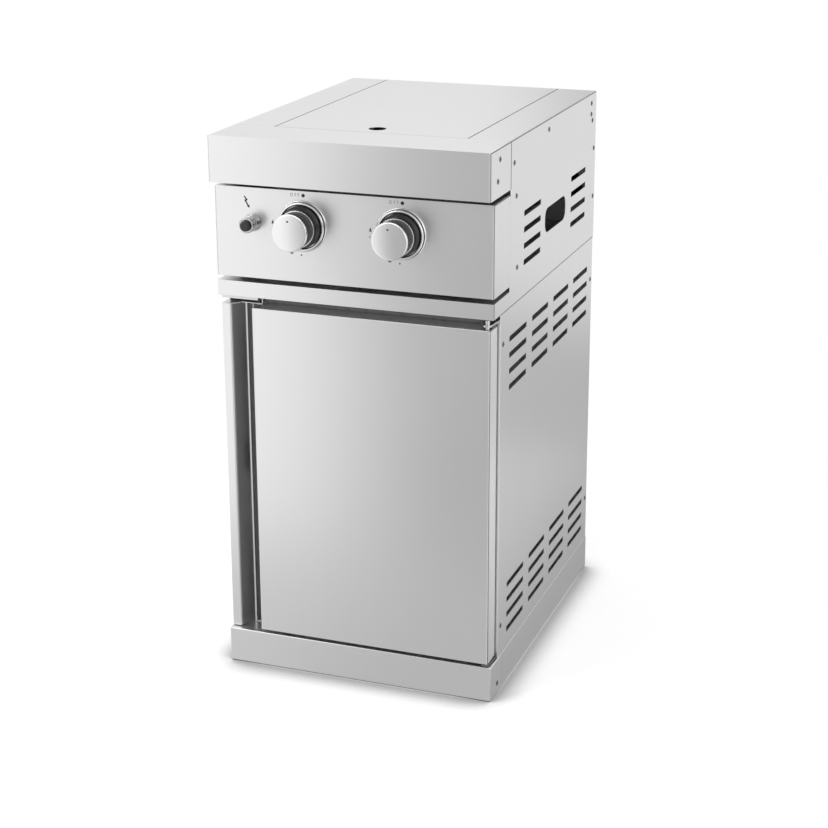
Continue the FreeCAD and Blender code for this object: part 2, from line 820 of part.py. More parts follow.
def knob(name, side):
    x = knob_spread / 2 * side
    cap = lathe(
        name + "_knob_cap",
        "XY_Plane",
        x,
        knob_face,
        knob_level,
        [
            (0, 0),
            (cap_radius - cap_crown * 2, cap_crown * 0.12),
            (cap_radius - cap_crown * 0.6, cap_crown * 0.4),
            (cap_radius, cap_crown),
            (cap_radius, cap_length),
            (0, cap_length),
        ],
    )
    socket = rod("y", x, stem_start, knob_level, stem_radius, cap_length)
    keep(cut(cap, socket), name + "_knob_cap")
    grip_front = knob_face + cap_length
    grip_back = grip_front + grip_length
    grip = rod("y", x, grip_front, knob_level, grip_radius, grip_length)
    hub = rod("y", x, grip_front - 1, knob_level, stem_radius, grip_length + 2)
    keep(cut(grip, hub), name + "_knob_grip")
    skirt = lathe(
        name + "_knob_skirt",
        "XY_Plane",
        x,
        grip_back,
        knob_level,
        [
            (stem_radius, 0),
            (grip_radius + skirt_step, 0),
            (skirt_radius, skirt_slope),
            (skirt_radius, skirt_length - knob_push),
            (stem_radius, skirt_length - knob_push),
        ],
    )
    keep(skirt, name + "_knob_skirt")
    bezel = lathe(
        name + "_bezel",
        "XY_Plane",
        x,
        face_setback - bezel_thick,
        knob_level,
        [
            (bezel_inner, 0),
            (bezel_crest - bezel_round, 0),
            (bezel_crest, bezel_round),
            (bezel_crest, bezel_thick - bezel_flange),
            (bezel_radius - bezel_round, bezel_thick - bezel_flange),
            (bezel_radius, bezel_thick - bezel_flange + bezel_round),
            (bezel_radius, bezel_thick),
            (bezel_inner - bezel_foot, bezel_thick),
            (bezel_inner - bezel_foot, bezel_thick - bezel_foot_thick),
            (bezel_inner, bezel_thick - bezel_foot_thick),
        ],
    )
    keep(bezel, name + "_bezel")


def igniter():
    x = igniter_inset - half
    front = face_setback - igniter_length
    bore = button_radius + gap
    collar = lathe(
        "igniter_collar",
        "XY_Plane",
        x,
        front,
        knob_level,
        [
            (bore, 0),
            (igniter_barrel - 1, 0),
            (igniter_barrel, 1),
            (igniter_barrel, igniter_length - igniter_nut - 1),
            (igniter_flange, igniter_length - igniter_nut),
            (igniter_flange, igniter_length),
            (bore, igniter_length),
        ],
    )
    keep(collar, "igniter_collar")
    button = lathe(
        "igniter_button",
        "XY_Plane",
        x,
        front - button_proud,
        knob_level,
        [
            (0, 0),
            (button_radius - 2, 0),
            (button_radius, 2),
            (button_radius, button_proud + button_shank),
            (0, button_proud + button_shank),
        ],
    )
    keep(button, "igniter_button")
    spring_y = front + button_shank
    coil_length = igniter_length - button_shank - button_push - gap
    coil = rod("y", x, spring_y, knob_level, button_radius - 1.5, coil_length)
    hole = rod("y", x, spring_y - 1, knob_level, button_radius - 3, igniter_length)
    keep(cut(coil, hole), "igniter_spring")
    y = face_setback + skin
    nut = rod("y", x, y, knob_level, igniter_barrel + 3, igniter_nut)
    case = rod("y", x, y + igniter_nut, knob_level, igniter_barrel, igniter_case)
    keep(fuse(nut, case), "igniter_body")


def lower_side(side, label):
    outline = [
        (frame_front, floor_top),
        (depth, floor_top),
        (depth, rail_bottom),
        (frame_front, rail_bottom),
    ]
    wall = extrude(label, "YZ_Plane", wall_x(side, side_face), 0, 0, outline, skin)
    v = rail_bottom - lower_slot_drop + slot_height / 2
    slot_field(wall, lower_slot_first, v, LOWER_SLOT_COLUMNS, lower_slot_step)
    low = plinth_height + lower_slot_rise + slot_pitch * (SLOT_ROWS - 1) + slot_height / 2
    slot_field(wall, lower_slot_first, low, LOWER_SLOT_COLUMNS, lower_slot_step)
    pieces = [wall]
    if side > 0:
        z0 = floor_top + bracket_plate
        x0 = side_face - side_lip
        pieces.append(box(x0, side_face - skin, frame_front, frame_front + skin, z0, bracket_z))
    hem_x = span(side, side_face - side_lip, side_face - skin)
    pieces.append(box(*hem_x, depth - skin * 2, depth - skin, floor_top, rail_bottom))
    keep(cut(fuse(*pieces), *screw_holes(side, side_face, lower_screws)), label)


def lower_back():
    inner = side_face - skin
    keep(box(-inner, inner, depth - skin, depth, floor_top, rail_bottom), "lower_back")


def cabinet_floor():
    plate = box(-side_face, side_face, frame_front, depth, plinth_height, floor_top)
    keep(plate, "cabinet_floor")


def grip_column():
    """Folded post beside the door: face, slanted finger channel, lip and stile."""
    x1 = column_left + column_face
    x2 = x1 + column_slant
    y1 = column_setback
    y2 = frame_front
    y3 = frame_front + column_step
    x4 = lip_x + stile_width
    y4 = y3 + stile_return
    outline = [
        (column_left, y2),
        (column_left, y1),
        (x1, y1),
        (x2, y2),
        (lip_x, y2),
        (lip_x, y3),
        (x4, y3),
        (x4, y4),
        (x4 - skin, y4),
        (x4 - skin, y3 + skin),
        (lip_x - skin, y3 + skin),
        (lip_x - skin, y2 + skin),
        (x2 - skin, y2 + skin),
        (x1 - skin, y1 + skin),
        (column_left + skin, y1 + skin),
        (column_left + skin, y2),
    ]
    post = extrude("grip_column", "XY_Plane", 0, 0, floor_top, outline, door_top - floor_top)
    keep(post, "grip_column")


def latch_bracket():
    """Cap on top of the grip column, with a stop that reaches over the door's corner."""
    x1 = column_left + column_face
    x2 = x1 + column_slant
    x3 = stop_x
    y0 = column_setback
    y1 = frame_front + column_step
    outline = [
        (column_left, y0),
        (x1, y0),
        (x2, y0 + stop_back),
        (x3, y0 + stop_back),
        (x3, frame_front),
        (x3, y1),
        (column_left + skin, y1),
        (column_left + skin, frame_front),
        (column_left, frame_front),
    ]
    plate = extrude("latch_bracket", "XY_Plane", 0, 0, door_top, outline, skin)
    tab = box(x3 - skin, x3, y0 + stop_back, y1, door_top + skin, door_top + skin + stop_height)
    keep(fuse(plate, tab), "latch_bracket")


def hinge_bracket(label, z, flange_up):
    """Flat arm with a round nose about the pivot, and a flange on the side panel."""
    back = frame_front + bracket_back
    inner = side_face - skin
    r = bracket_nose
    outline = [
        (pivot_x - r, pivot_y),
        (pivot_x + r, pivot_y),
        (inner, frame_front - 1),
        (inner, back),
        (inner - bracket_width, back),
        (inner - bracket_width, pivot_y + bracket_arm),
    ]
    arm = extrude(label, "XY_Plane", 0, 0, z, outline, bracket_plate)
    nose = rod("z", pivot_x, pivot_y, z, r, bracket_plate)
    low = z + bracket_plate if flange_up else z - bracket_flange
    high = z + bracket_plate + bracket_flange if flange_up else z
    flange = box(inner - bracket_plate, inner, frame_front + skin + 1, back, low, high)
    hole = rod("z", pivot_x, pivot_y, z - 1, pin_radius, bracket_plate + 2)
    keep(cut(fuse(arm, nose, flange), hole), label)


def hinge_pins():
    top_high = bracket_z + bracket_plate
    top_low = door_top - pin_bite
    top = fuse(
        rod("z", pivot_x, pivot_y, top_low, pin_radius, top_high - top_low),
        rod("z", pivot_x, pivot_y, top_high, pin_head_radius, pin_head_length),
    )
    low_high = door_bottom + pin_bite
    low = rod("z", pivot_x, pivot_y, floor_top, pin_radius, low_high - floor_top)
    keep(group(top, low), "hinge_pins")


def door():
    y0, y1 = face_setback, door_back
    outer = box(door_x0, door_x1, y0, y1, door_bottom, door_top)
    x0, x1 = door_x0 + skin, door_x1 - skin
    z0, z1 = door_bottom + skin, door_top - skin
    hollow = box(x0, x1, y0 + skin, y1 + 1, z0, z1)
    bush_radius = pin_radius + pin_play + bush_wall
    holes = [
        rod("z", pivot_x, pivot_y, door_top - skin - 1, bush_radius, skin + 2),
        rod("z", pivot_x, pivot_y, door_bottom - 1, bush_radius, skin + 2),
    ]
    keep(cut(cut(outer, hollow), *holes), "door_outer_skin")
    pan = box(x0, x1, y1 - door_rim, y1, z0, z1)
    room = box(x0 + skin, x1 - skin, y1 - door_rim - 1, y1 - skin, z0 + skin, z1 - skin)
    keep(cut(pan, room), "door_inner_skin")
    bushes = []
    bush_length = pin_bite + bush_floor
    for z, rise in ((door_top, -1), (door_bottom, 1)):
        low = z - bush_length if rise < 0 else z
        tube = rod("z", pivot_x, pivot_y, low, bush_radius, bush_length)
        z_flange = z - skin - bush_flange_thick if rise < 0 else z + skin
        flange = rod("z", pivot_x, pivot_y, z_flange, bush_radius + bush_flange, bush_flange_thick)
        bore = rod("z", pivot_x, pivot_y, low - 1, pin_radius + pin_play, bush_length + 2)
        bushes.append(cut(fuse(tube, flange), bore))
    keep(group(*bushes), "door_bushes")


def catch():
    x0 = lip_x + stile_width - catch_width - catch_inset
    z0 = (door_top + door_bottom) / 2 - catch_height / 2
    z1 = z0 + catch_height
    strike_back = door_back + strike_thick
    y1 = frame_front + column_step
    strike = box(x0, x0 + catch_width, door_back, strike_back, z0, z1)
    keep(strike, "strike_plate")
    keep(box(x0, x0 + catch_width, strike_back + magnet_air, y1, z0, z1), "magnetic_catch")


def plinth():
    """Front with short side returns, two sides and a back, folded in at the top edge."""
    low, high = plinth_lift, plinth_height
    y0 = face_setback
    y1 = y0 + plinth_return
    holes = screw_holes(1, half, plinth_screws) + screw_holes(-1, half, plinth_screws)
    outer = box(-half, half, y0, y1, low, high)
    hollow = box(skin - half, half - skin, y0 + skin, y1 + 1, low - 1, high - skin)
    ledge = half - plinth_flange
    mouth = box(-ledge, ledge, frame_front, y1 + 1, high - skin - 1, high + 1)
    keep(cut(outer, hollow, mouth, *holes), "plinth_front")
    for side, label in ((-1, "plinth_left"), (1, "plinth_right")):
        wall = box(*span(side, half - skin, half), y1 + seam, depth, low, high)
        flange_x = span(side, ledge, half - skin)
        flange = box(*flange_x, y1 + seam, depth - skin, high - skin, high)
        keep(fuse(wall, flange), label)
    inner = half - skin
    keep(box(-inner, inner, depth - skin, depth, low, high - skin), "plinth_back")


def feet():
    solids = []
    top = plinth_height
    for x in (foot_inset - half, half - foot_inset):
        for y in (frame_front + foot_front, depth - foot_inset):
            pad = rod("z", x, y, 0, foot_radius, foot_pad)
            stud = rod("z", x, y, foot_pad - 1, foot_stud_radius, top - foot_pad + 1)
            nut = rod("z", x, y, top - foot_nut, foot_stud_radius * 2, foot_nut)
            solids.append(fuse(pad, stud, nut))
    keep(group(*solids), "levelling_feet")


def all_screws():
    solids = []
    for side in (-1, 1):
        solids += screws(side, half, cap_screws + upper_screws + plinth_screws)
        solids += screws(side, side_face, lower_screws)
    keep(group(*solids), "side_screws")


def build():
    front_cap()
    control_panel()
    cross_rail()
    upper_side(-1, "upper_side_left")
    upper_side(1, "upper_side_right")
    upper_back()
    burner_tray()
    lid()
    box_floor()
    for name, y, side in (("front", burner_front, -1), ("rear", burner_front + burner_step, 1)):
        burner(name, y, side)
        pot_support(name, y)
    spark_electrodes()
    manifold()
    for name, side in (("left", -1), ("right", 1)):
        valve(name, side)
        knob(name, side)
    igniter()
    lower_side(-1, "lower_side_left")
    lower_side(1, "lower_side_right")
    lower_back()
    cabinet_floor()
    grip_column()
    latch_bracket()
    hinge_bracket("top_hinge_bracket", bracket_z, False)
    hinge_bracket("bottom_hinge_bracket", floor_top, True)
    hinge_pins()
    door()
    catch()
    plinth()
    feet()
    all_screws()


def check():
    """Stops before anything is written if an object failed or a piece is not a sound solid."""
    for thing in doc.Objects:
        if "Invalid" in thing.State or "Error" in thing.State:
            raise RuntimeError(thing.Label + " failed: " + ", ".join(thing.State))
    for part in PARTS:
        if part.Shape.isNull() or not part.Shape.isValid() or not part.Shape.Solids:
            raise RuntimeError(part.Label + " has no sound shape")


doc.recompute()
build()
doc.recompute()
check()
os.makedirs("parts", exist_ok=True)
for part in PARTS:
    part.Shape.exportStep(os.path.join("parts", part.Label + ".step"))
    print(part.Label, len(part.Shape.Solids), round(part.Shape.Volume))
print(len(PARTS), "pieces")
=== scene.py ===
import json
import math

import bmesh
import bpy
from mathutils import Matrix, Vector

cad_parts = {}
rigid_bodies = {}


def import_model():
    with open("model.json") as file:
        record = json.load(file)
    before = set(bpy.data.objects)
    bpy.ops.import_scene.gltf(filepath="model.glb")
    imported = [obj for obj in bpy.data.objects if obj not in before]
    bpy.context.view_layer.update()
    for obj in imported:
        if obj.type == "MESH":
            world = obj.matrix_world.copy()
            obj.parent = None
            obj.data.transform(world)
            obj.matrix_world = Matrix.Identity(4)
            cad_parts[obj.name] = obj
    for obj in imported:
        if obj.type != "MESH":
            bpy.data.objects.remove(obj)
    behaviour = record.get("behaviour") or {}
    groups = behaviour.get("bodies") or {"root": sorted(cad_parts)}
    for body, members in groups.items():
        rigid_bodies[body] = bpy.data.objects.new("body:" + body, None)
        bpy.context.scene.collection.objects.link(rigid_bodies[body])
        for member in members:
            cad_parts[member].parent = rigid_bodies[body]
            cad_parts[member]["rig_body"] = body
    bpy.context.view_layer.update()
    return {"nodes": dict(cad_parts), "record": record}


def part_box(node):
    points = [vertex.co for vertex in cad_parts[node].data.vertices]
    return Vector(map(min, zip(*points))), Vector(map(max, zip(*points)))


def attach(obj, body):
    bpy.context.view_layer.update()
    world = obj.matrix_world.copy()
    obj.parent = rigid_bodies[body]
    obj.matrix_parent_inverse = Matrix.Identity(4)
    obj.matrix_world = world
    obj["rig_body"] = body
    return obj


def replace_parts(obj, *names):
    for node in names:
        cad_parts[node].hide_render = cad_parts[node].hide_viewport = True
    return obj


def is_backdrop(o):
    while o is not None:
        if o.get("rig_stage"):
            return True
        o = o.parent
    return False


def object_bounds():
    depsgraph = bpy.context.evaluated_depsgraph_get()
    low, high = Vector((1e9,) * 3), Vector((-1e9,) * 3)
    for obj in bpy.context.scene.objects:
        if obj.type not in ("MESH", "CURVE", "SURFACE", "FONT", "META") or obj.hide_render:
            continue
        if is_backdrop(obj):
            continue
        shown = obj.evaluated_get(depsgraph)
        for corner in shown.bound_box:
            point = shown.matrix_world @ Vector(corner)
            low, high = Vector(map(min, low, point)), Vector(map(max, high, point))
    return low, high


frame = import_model()

bl_info = {
    "name": "Side Burner Module",
    "version": (1, 0, 0),
    "blender": (4, 5, 0),
    "location": "3D View > Sidebar > Burner Module",
    "description": "Finishes the stainless side burner module and its studio",
    "category": "Object",
}

MM = 0.001
SLOT_OF = {row["node"]: row["material_slot"] for row in frame["record"]["subparts"]}
SIDES = (("left", -1), ("right", 1))

# Corners of a node's loose triangles that lie this close together are one.
WELD = 0.002 * MM

# Least angle in degrees of a fold, of a cut edge and of an edge of a turned piece.
FOLD_ANGLE, CUT_ANGLE, TURNED_ANGLE = 35, 50, 40

# Most degrees between faces of a sheet that shade as one, and between faces that are one.
SHADE_ANGLE, FLAT_ANGLE = 32, 0.4

# A knob cap's sag from its crown to its rim, and the depth of that rim.
CAP_SAG, CAP_EDGE = 2.4 * MM, 2.2 * MM

# Width of the dark joint lines over the side sheets, strips of painted shade in their gaps, and how far
# a joint line lies over or under a face.
WIDE_GAP_SHADE, SKIN = 2.4 * MM, 0.05 * MM

# Pieces with punched holes, whose cut edges stay as they were punched.
PIERCED = (
    "front_cap",
    "control_panel",
    "upper_side_left",
    "upper_side_right",
    "upper_back",
    "lower_side_left",
    "lower_side_right",
    "plinth_front",
    "lid",
)

# Sheets that meet end to end behind the cap, where their ends are broken to show the joint.
JOINED = ("front_cap", "upper_side_left", "upper_side_right")

# Sheets whose upright corners and top shoulders are bent round a wider radius.
ROUND_CORNERED = (
    "front_cap",
    "control_panel",
    "upper_side_left",
    "upper_side_right",
    "door_outer_skin",
)

# Sheets with a bend beside the lid's gap.
BESIDE_LID = ("lid", "upper_side_left", "upper_side_right")

# Sheet steel pieces and the axis along which each one is brushed.
GRAIN_OF = {
    "front_cap": "X",
    "control_panel": "X",
    "cross_rail": "X",
    "plinth_front": "X",
    "plinth_back": "X",
    "upper_back": "X",
    "lower_back": "Z",
    "door_outer_skin": "Z",
    "door_inner_skin": "Z",
    "grip_column": "Z",
    "latch_bracket": "X",
    "upper_side_left": "Y",
    "upper_side_right": "Y",
    "lower_side_left": "Z",
    "lower_side_right": "Z",
    "plinth_left": "Y",
    "plinth_right": "Y",
    "lid": "Y",
}

# What a sheet has besides its own steel, all painted light and shade: a painted dark reflection and a
# painted glint on its bends, a painted reflection beside the lid's gap and painted light on the door's
# side; and the material indices of these finishes.
PAINTED_EDGE_LIGHT_AND_SHADE = ("bend_dark", "bend_glint", "lit_side", "gap_dark")
BEND_PAINTED_DARK_REFLECTION, BEND_PAINTED_GLINT, PAINTED_LIT_SIDE, GAP_PAINTED_REFLECTION = 1, 2, 3, 4

# Material index of the ink on the screws, which paints shade: a dark ring under each head and a dark
# cross.
SCREW_PAINTED_SHADE = 1

# Nodes that lie in shade, whose finishes have that shade painted into their colour.
SHADED = {"grip_column": "column_steel", "bottom_hinge_bracket": "shaded_bracket"}


def length_property(name, description, millimetres):
    return bpy.props.FloatProperty(
        name=name, description=description, default=millimetres * MM, unit="LENGTH"
    )


class ModuleSizes(bpy.types.PropertyGroup):
    bend_radius: length_property("Bend radius", "Outer radius where a sheet is folded", 1.5)
    corner_radius: length_property(
        "Corner radius", "Outer radius of the upright corners and the top shoulders", 2.5
    )
    # The dark joint is a strip of painted shade in the gap between two sheets.
    gap_shade_width: length_property("Seam width", "Width of the dark joint seen between two sheets", 0.76)
    joint_break: length_property(
        "Joint edge break", "Bevel on the ends of two sheets that meet behind the cap", 0.75
    )
    cut_break: length_property("Cut edge break", "Fine bevel on sawn and punched edges", 0.25)
    rim_width: length_property(
        "Rim width", "Faces narrower than this are cut edges, and wider ones are walls", 2.5
    )
    casting_round: length_property("Casting round", "Rounding on the edges of the cast pieces", 1.2)
    cap_depth: length_property(
        "Knob cap depth", "Depth of a knob's metal cap from its crown to the groove behind it", 6.2
    )
    flute_count: bpy.props.IntProperty(
        name="Flutes", description="Flutes round each knob's grip", default=36
    )
    flute_depth: length_property("Flute depth", "How deep the flutes of a knob's grip are", 1.2)
    mark_height: length_property(
        "Letter height", "Height of the printed letters on the control panel", 5.7
    )
    ink_thick: length_property("Ink thickness", "How far the printed marks stand proud", 0.08)
    wire_radius: length_property("Spring wire radius", "Radius of the wire of the small springs", 0.55)


def colour_property(name, description, value):
    return bpy.props.FloatVectorProperty(
        name=name, description=description, default=value, size=3, subtype="COLOR", min=0, max=1
    )


class ModuleColours(bpy.types.PropertyGroup):
    steel: colour_property("Brushed steel", "Outer sheet steel", (0.8, 0.8, 0.805))
    inner: colour_property("Inner steel", "Plain sheet steel inside", (0.55, 0.55, 0.56))
    zinc: colour_property("Bright steel", "Brackets, pins and screws", (0.68, 0.68, 0.69))
    chrome: colour_property("Chrome", "Bezels and igniter collar", (0.82, 0.82, 0.83))
    satin: colour_property("Satin chrome", "Knob caps", (0.85, 0.85, 0.85))
    plastic: colour_property("Dark plastic", "Grips, skirts and igniter", (0.022, 0.021, 0.024))
    iron: colour_property("Enamelled iron", "Pot supports", (0.018, 0.018, 0.02))
    aluminium: colour_property("Cast aluminium", "Burner heads and mixing tubes", (0.5, 0.5, 0.51))
    pipe: colour_property("Drawn tube", "Gas manifold", (0.58, 0.59, 0.6))
    brass: colour_property("Brass", "Valves, stems and gas fitting", (0.62, 0.45, 0.2))
    ceramic: colour_property("Ceramic", "Insulators of the spark electrodes", (0.82, 0.8, 0.75))
    # Rubber is also the colour of the joint lines, strips of painted shade in the gaps between the
    # sheets.
    rubber: colour_property("Rubber", "Joint lines and inlet grommet", (0.02, 0.02, 0.021))
    # The foam's dark colour is also painted shade for the band over the door.
    foam: colour_property("Foam", "Seal over the door", (0.26, 0.26, 0.265))
    letters: colour_property("Letter ink", "Letters on the control panel", (0.2, 0.2, 0.21))
    acetal: colour_property("Acetal", "Door bushes and catch", (0.06, 0.06, 0.065))
    ink: colour_property("Ink", "Printed marks on the control panel", (0.02, 0.02, 0.022))
    floor: colour_property("Floor", "Studio floor", (0.92, 0.92, 0.92))


class Wire:
    """One output socket of a shader, with the arithmetic that adds Math nodes."""

    def __init__(self, graph, socket):
        self.graph = graph
        self.socket = socket

    def math(self, operation, first, second=0.0):
        return self.graph.make("ShaderNodeMath", {"operation": operation}, {0: first, 1: second})

    def __add__(self, other):
        return self.math("ADD", self, other)

    def __radd__(self, other):
        return self.math("ADD", other, self)

    def __sub__(self, other):
        return self.math("SUBTRACT", self, other)

    def __rsub__(self, other):
        return self.math("SUBTRACT", other, self)

    def __mul__(self, other):
        return self.math("MULTIPLY", self, other)

    def __rmul__(self, other):
        return self.math("MULTIPLY", other, self)

    def __pow__(self, other):
        return self.math("POWER", self, other)

    def __abs__(self):
        return self.math("ABSOLUTE", self)

    def either(self, other):
        return self.math("MAXIMUM", self, other)


class Graph:
    """The nodes of one material or world."""

    def __init__(self, owner):
        owner.use_nodes = True
        self.owner = owner
        self.tree = owner.node_tree
        self.tree.nodes.clear()
        self.where = None

    def make(self, kind, settings=None, inputs=None, output=0):
        """Adds a node: its settings first, then the values or links of its sockets.

        It gives the named output back, or a list of them where several are named.
        """
        node = self.tree.nodes.new(kind)
        for key, value in (settings or {}).items():
            setattr(node, key, value)
        for key, value in (inputs or {}).items():
            if isinstance(value, Wire):
                self.tree.links.new(value.socket, node.inputs[key])
            else:
                node.inputs[key].default_value = value
        if isinstance(output, tuple):
            return [Wire(self, node.outputs[name]) for name in output]
        return Wire(self, node.outputs[output]) if node.outputs else node

    def place(self):
        """Object coordinates, from one node for the whole material."""
        if self.where is None:
            self.where = self.make("ShaderNodeTexCoord", output="Object")
        return self.where

    def axes(self):
        return self.make("ShaderNodeSeparateXYZ", None, {0: self.place()}, output=("X", "Y", "Z"))

    def noise(self, scale, detail=2.0, roughness=0.5):
        """Noise over the surface, with one scale or another one along each axis."""
        spread = scale if isinstance(scale, (list, tuple)) else (scale, scale, scale)
        where = self.make("ShaderNodeMapping", None, {"Vector": self.place(), "Scale": spread})
        sockets = {"Vector": where, "Scale": 1.0, "Detail": detail, "Roughness": roughness}
        return self.make("ShaderNodeTexNoise", None, sockets)

    def blend(self, factor, dark, light):
        """Mixes two colours, each given as numbers or as a socket."""
        dark, light = (c if isinstance(c, Wire) else (*c, 1.0) for c in (dark, light))
        return self.make(
            "ShaderNodeMix", {"data_type": "RGBA"}, {0: factor, 6: dark, 7: light}, output=2
        )

    def shades(self, factor, colour, low, high):
        """A colour that runs between two strengths of itself."""
        return self.blend(factor, scaled(colour, low), scaled(colour, high))

    def ease(self, value, start, end):
        """Runs smoothly from 0 to 1 as a value goes from start to end."""
        return self.make(
            "ShaderNodeMapRange",
            {"interpolation_type": "SMOOTHSTEP"},
            {"Value": value, "From Min": start, "From Max": end},
        )

    def bump(self, height, strength, distance):
        return self.make(
            "ShaderNodeBump", None, {"Height": height, "Strength": strength, "Distance": distance}
        )

    def finish(self, shader):
        self.make("ShaderNodeOutputMaterial", None, {"Surface": shader})

    def surface(self, tone, roughness, normal=None, metallic=0.0, coat=0.0):
        """Ends the material with a Principled shader, and gives the material back."""
        sockets = {"Base Color": tone, "Roughness": roughness}
        sockets |= {"Metallic": metallic, "Coat Weight": coat}
        if normal is not None:
            sockets["Normal"] = normal
        self.finish(self.make("ShaderNodeBsdfPrincipled", None, sockets))
        return self.owner


def scaled(colour, factor):
    return tuple(min(1.0, channel * factor) for channel in colour)


def material_graph(name):
    return Graph(bpy.data.materials.new(name))


def brushed(name, colour, axis, roughness=0.34, depth=0.08, clouds=0.018, hollow=None):
    """Sheet metal brushed along one axis, with faint clouds from handling and rolling.

    A hollow is an X and a Y: the metal left of the one and behind the other is darkened with painted
    shade.
    """
    graph = material_graph(name)
    along, across = 14.0, 1500.0
    fine, broad = [across] * 3, [across / 9] * 3
    index = "XYZ".index(axis)
    fine[index], broad[index] = along, along / 5
    lines = graph.noise(fine, detail=3.0, roughness=0.65)
    bands = graph.noise(broad, detail=1.0)
    patches = graph.noise((5.0, 5.0, 4.0))
    mix = lines * 0.5 + bands * 0.15 + patches * 0.35
    tone = graph.shades(mix, colour, 1 - clouds * 2, 1 + clouds * 2)
    if hollow is not None:
        tone = paint_hollow_shade(graph, tone, colour, *hollow)
    rough = roughness - 0.09 + lines * 0.12 + patches * 0.06
    bump = graph.bump(lines * 0.85 + bands * 0.15, depth, 0.05 * MM)
    return graph.surface(tone, rough, bump, metallic=1.0)


def paint_hollow_shade(graph, tone, colour, lip, deep):
    """Paints shade into a tone in the hollow left of a lip, and darker painted shade to the right of the
    lip.
    """
    x, y, _ = graph.axes()
    before_lip = 1.0 - graph.ease(x, lip - 1 * MM, lip)
    inside = graph.ease(y, deep, deep + 2 * MM) * before_lip
    past_lip = graph.ease(x, lip + 2.5 * MM, lip + 3.5 * MM)
    hollow = graph.blend(inside, tone, scaled(colour, 0.56))
    return graph.blend(past_lip, hollow, scaled(colour, 0.22))


def mill_finish(name, colour, roughness):
    """Plain rolled steel inside: dull, with soft clouds and fine rolling lines."""
    graph = material_graph(name)
    clouds = graph.noise(16.0, detail=4.0, roughness=0.6)
    rolled = graph.noise((700.0, 9.0, 700.0))
    tone = graph.shades(clouds, colour, 0.84, 1.12)
    rough = roughness - 0.08 + clouds * 0.16 + rolled * 0.05
    return graph.surface(tone, rough, graph.bump(rolled + clouds * 0.4, 0.12, 0.06 * MM), metallic=1.0)


def bright_metal(name, colour, roughness, speckle=260.0):
    """Plated or drawn metal, smooth, with tiny pits and dulled patches."""
    graph = material_graph(name)
    pits = graph.noise(speckle, detail=3.0)
    dull = graph.noise(38.0)
    tone = graph.shades(dull, colour, 0.9, 1.06)
    rough = roughness + dull * 0.08 + pits * 0.03
    return graph.surface(tone, rough, graph.bump(pits, 0.05, 0.04 * MM), metallic=1.0)


def spun_metal(name, colour, half_spread, level, roughness):
    """Satin metal turned about each knob's axis: rings round either centre."""
    graph = material_graph(name)
    x, y, z = graph.axes()
    sideways, upward = abs(x) - half_spread, z - level
    radius = (sideways * sideways + upward * upward) ** 0.5
    ringed = graph.make("ShaderNodeCombineXYZ", None, {0: radius * 2600.0, 1: y * 900.0, 2: 0.0})
    rings = graph.make("ShaderNodeTexNoise", None, {"Vector": ringed, "Scale": 1.0, "Detail": 2.0})
    dull = graph.noise(60.0)
    tone = graph.shades(rings * 0.5 + dull * 0.5, colour, 0.97, 1.02)
    rough = roughness + rings * 0.05 + dull * 0.03
    return graph.surface(tone, rough, graph.bump(rings, 0.03, 0.03 * MM), metallic=1.0)


def moulded(name, colour, roughness):
    """Moulded plastic with a fine spark-eroded grain and faint sheen changes."""
    graph = material_graph(name)
    skin = graph.noise(1800.0, detail=3.0)
    wear = graph.noise(90.0, detail=3.0)
    tone = graph.shades(wear, colour, 0.75, 1.35)
    return graph.surface(tone, roughness - 0.06 + wear * 0.12, graph.bump(skin, 0.25, 0.05 * MM))


def cast(name, colour, roughness, metallic, grain=420.0, depth=0.5):
    """Sand cast surface, enamelled or bare, with a pebbly skin."""
    graph = material_graph(name)
    pebbles = graph.noise(grain, detail=4.0, roughness=0.6)
    stains = graph.noise(30.0, detail=3.0)
    tone = graph.shades(stains, colour, 0.75, 1.3)
    rough = roughness - 0.08 + stains * 0.14 + pebbles * 0.06
    return graph.surface(tone, rough, graph.bump(pebbles, depth, 0.25 * MM), metallic=metallic)


def glazed(name, colour):
    """Glazed ceramic with a slight mottle."""
    graph = material_graph(name)
    mottle = graph.noise(240.0)
    return graph.surface(graph.shades(mottle, colour, 0.9, 1.05), 0.16 + mottle * 0.1, coat=0.4)


def printed(name, colour):
    """Screen printed ink: matt, a little uneven in its density."""
    graph = material_graph(name)
    dots = graph.noise(2400.0)
    return graph.surface(graph.shades(dots, colour, 0.7, 1.9), 0.5 + dots * 0.12)


FINISHES = {}


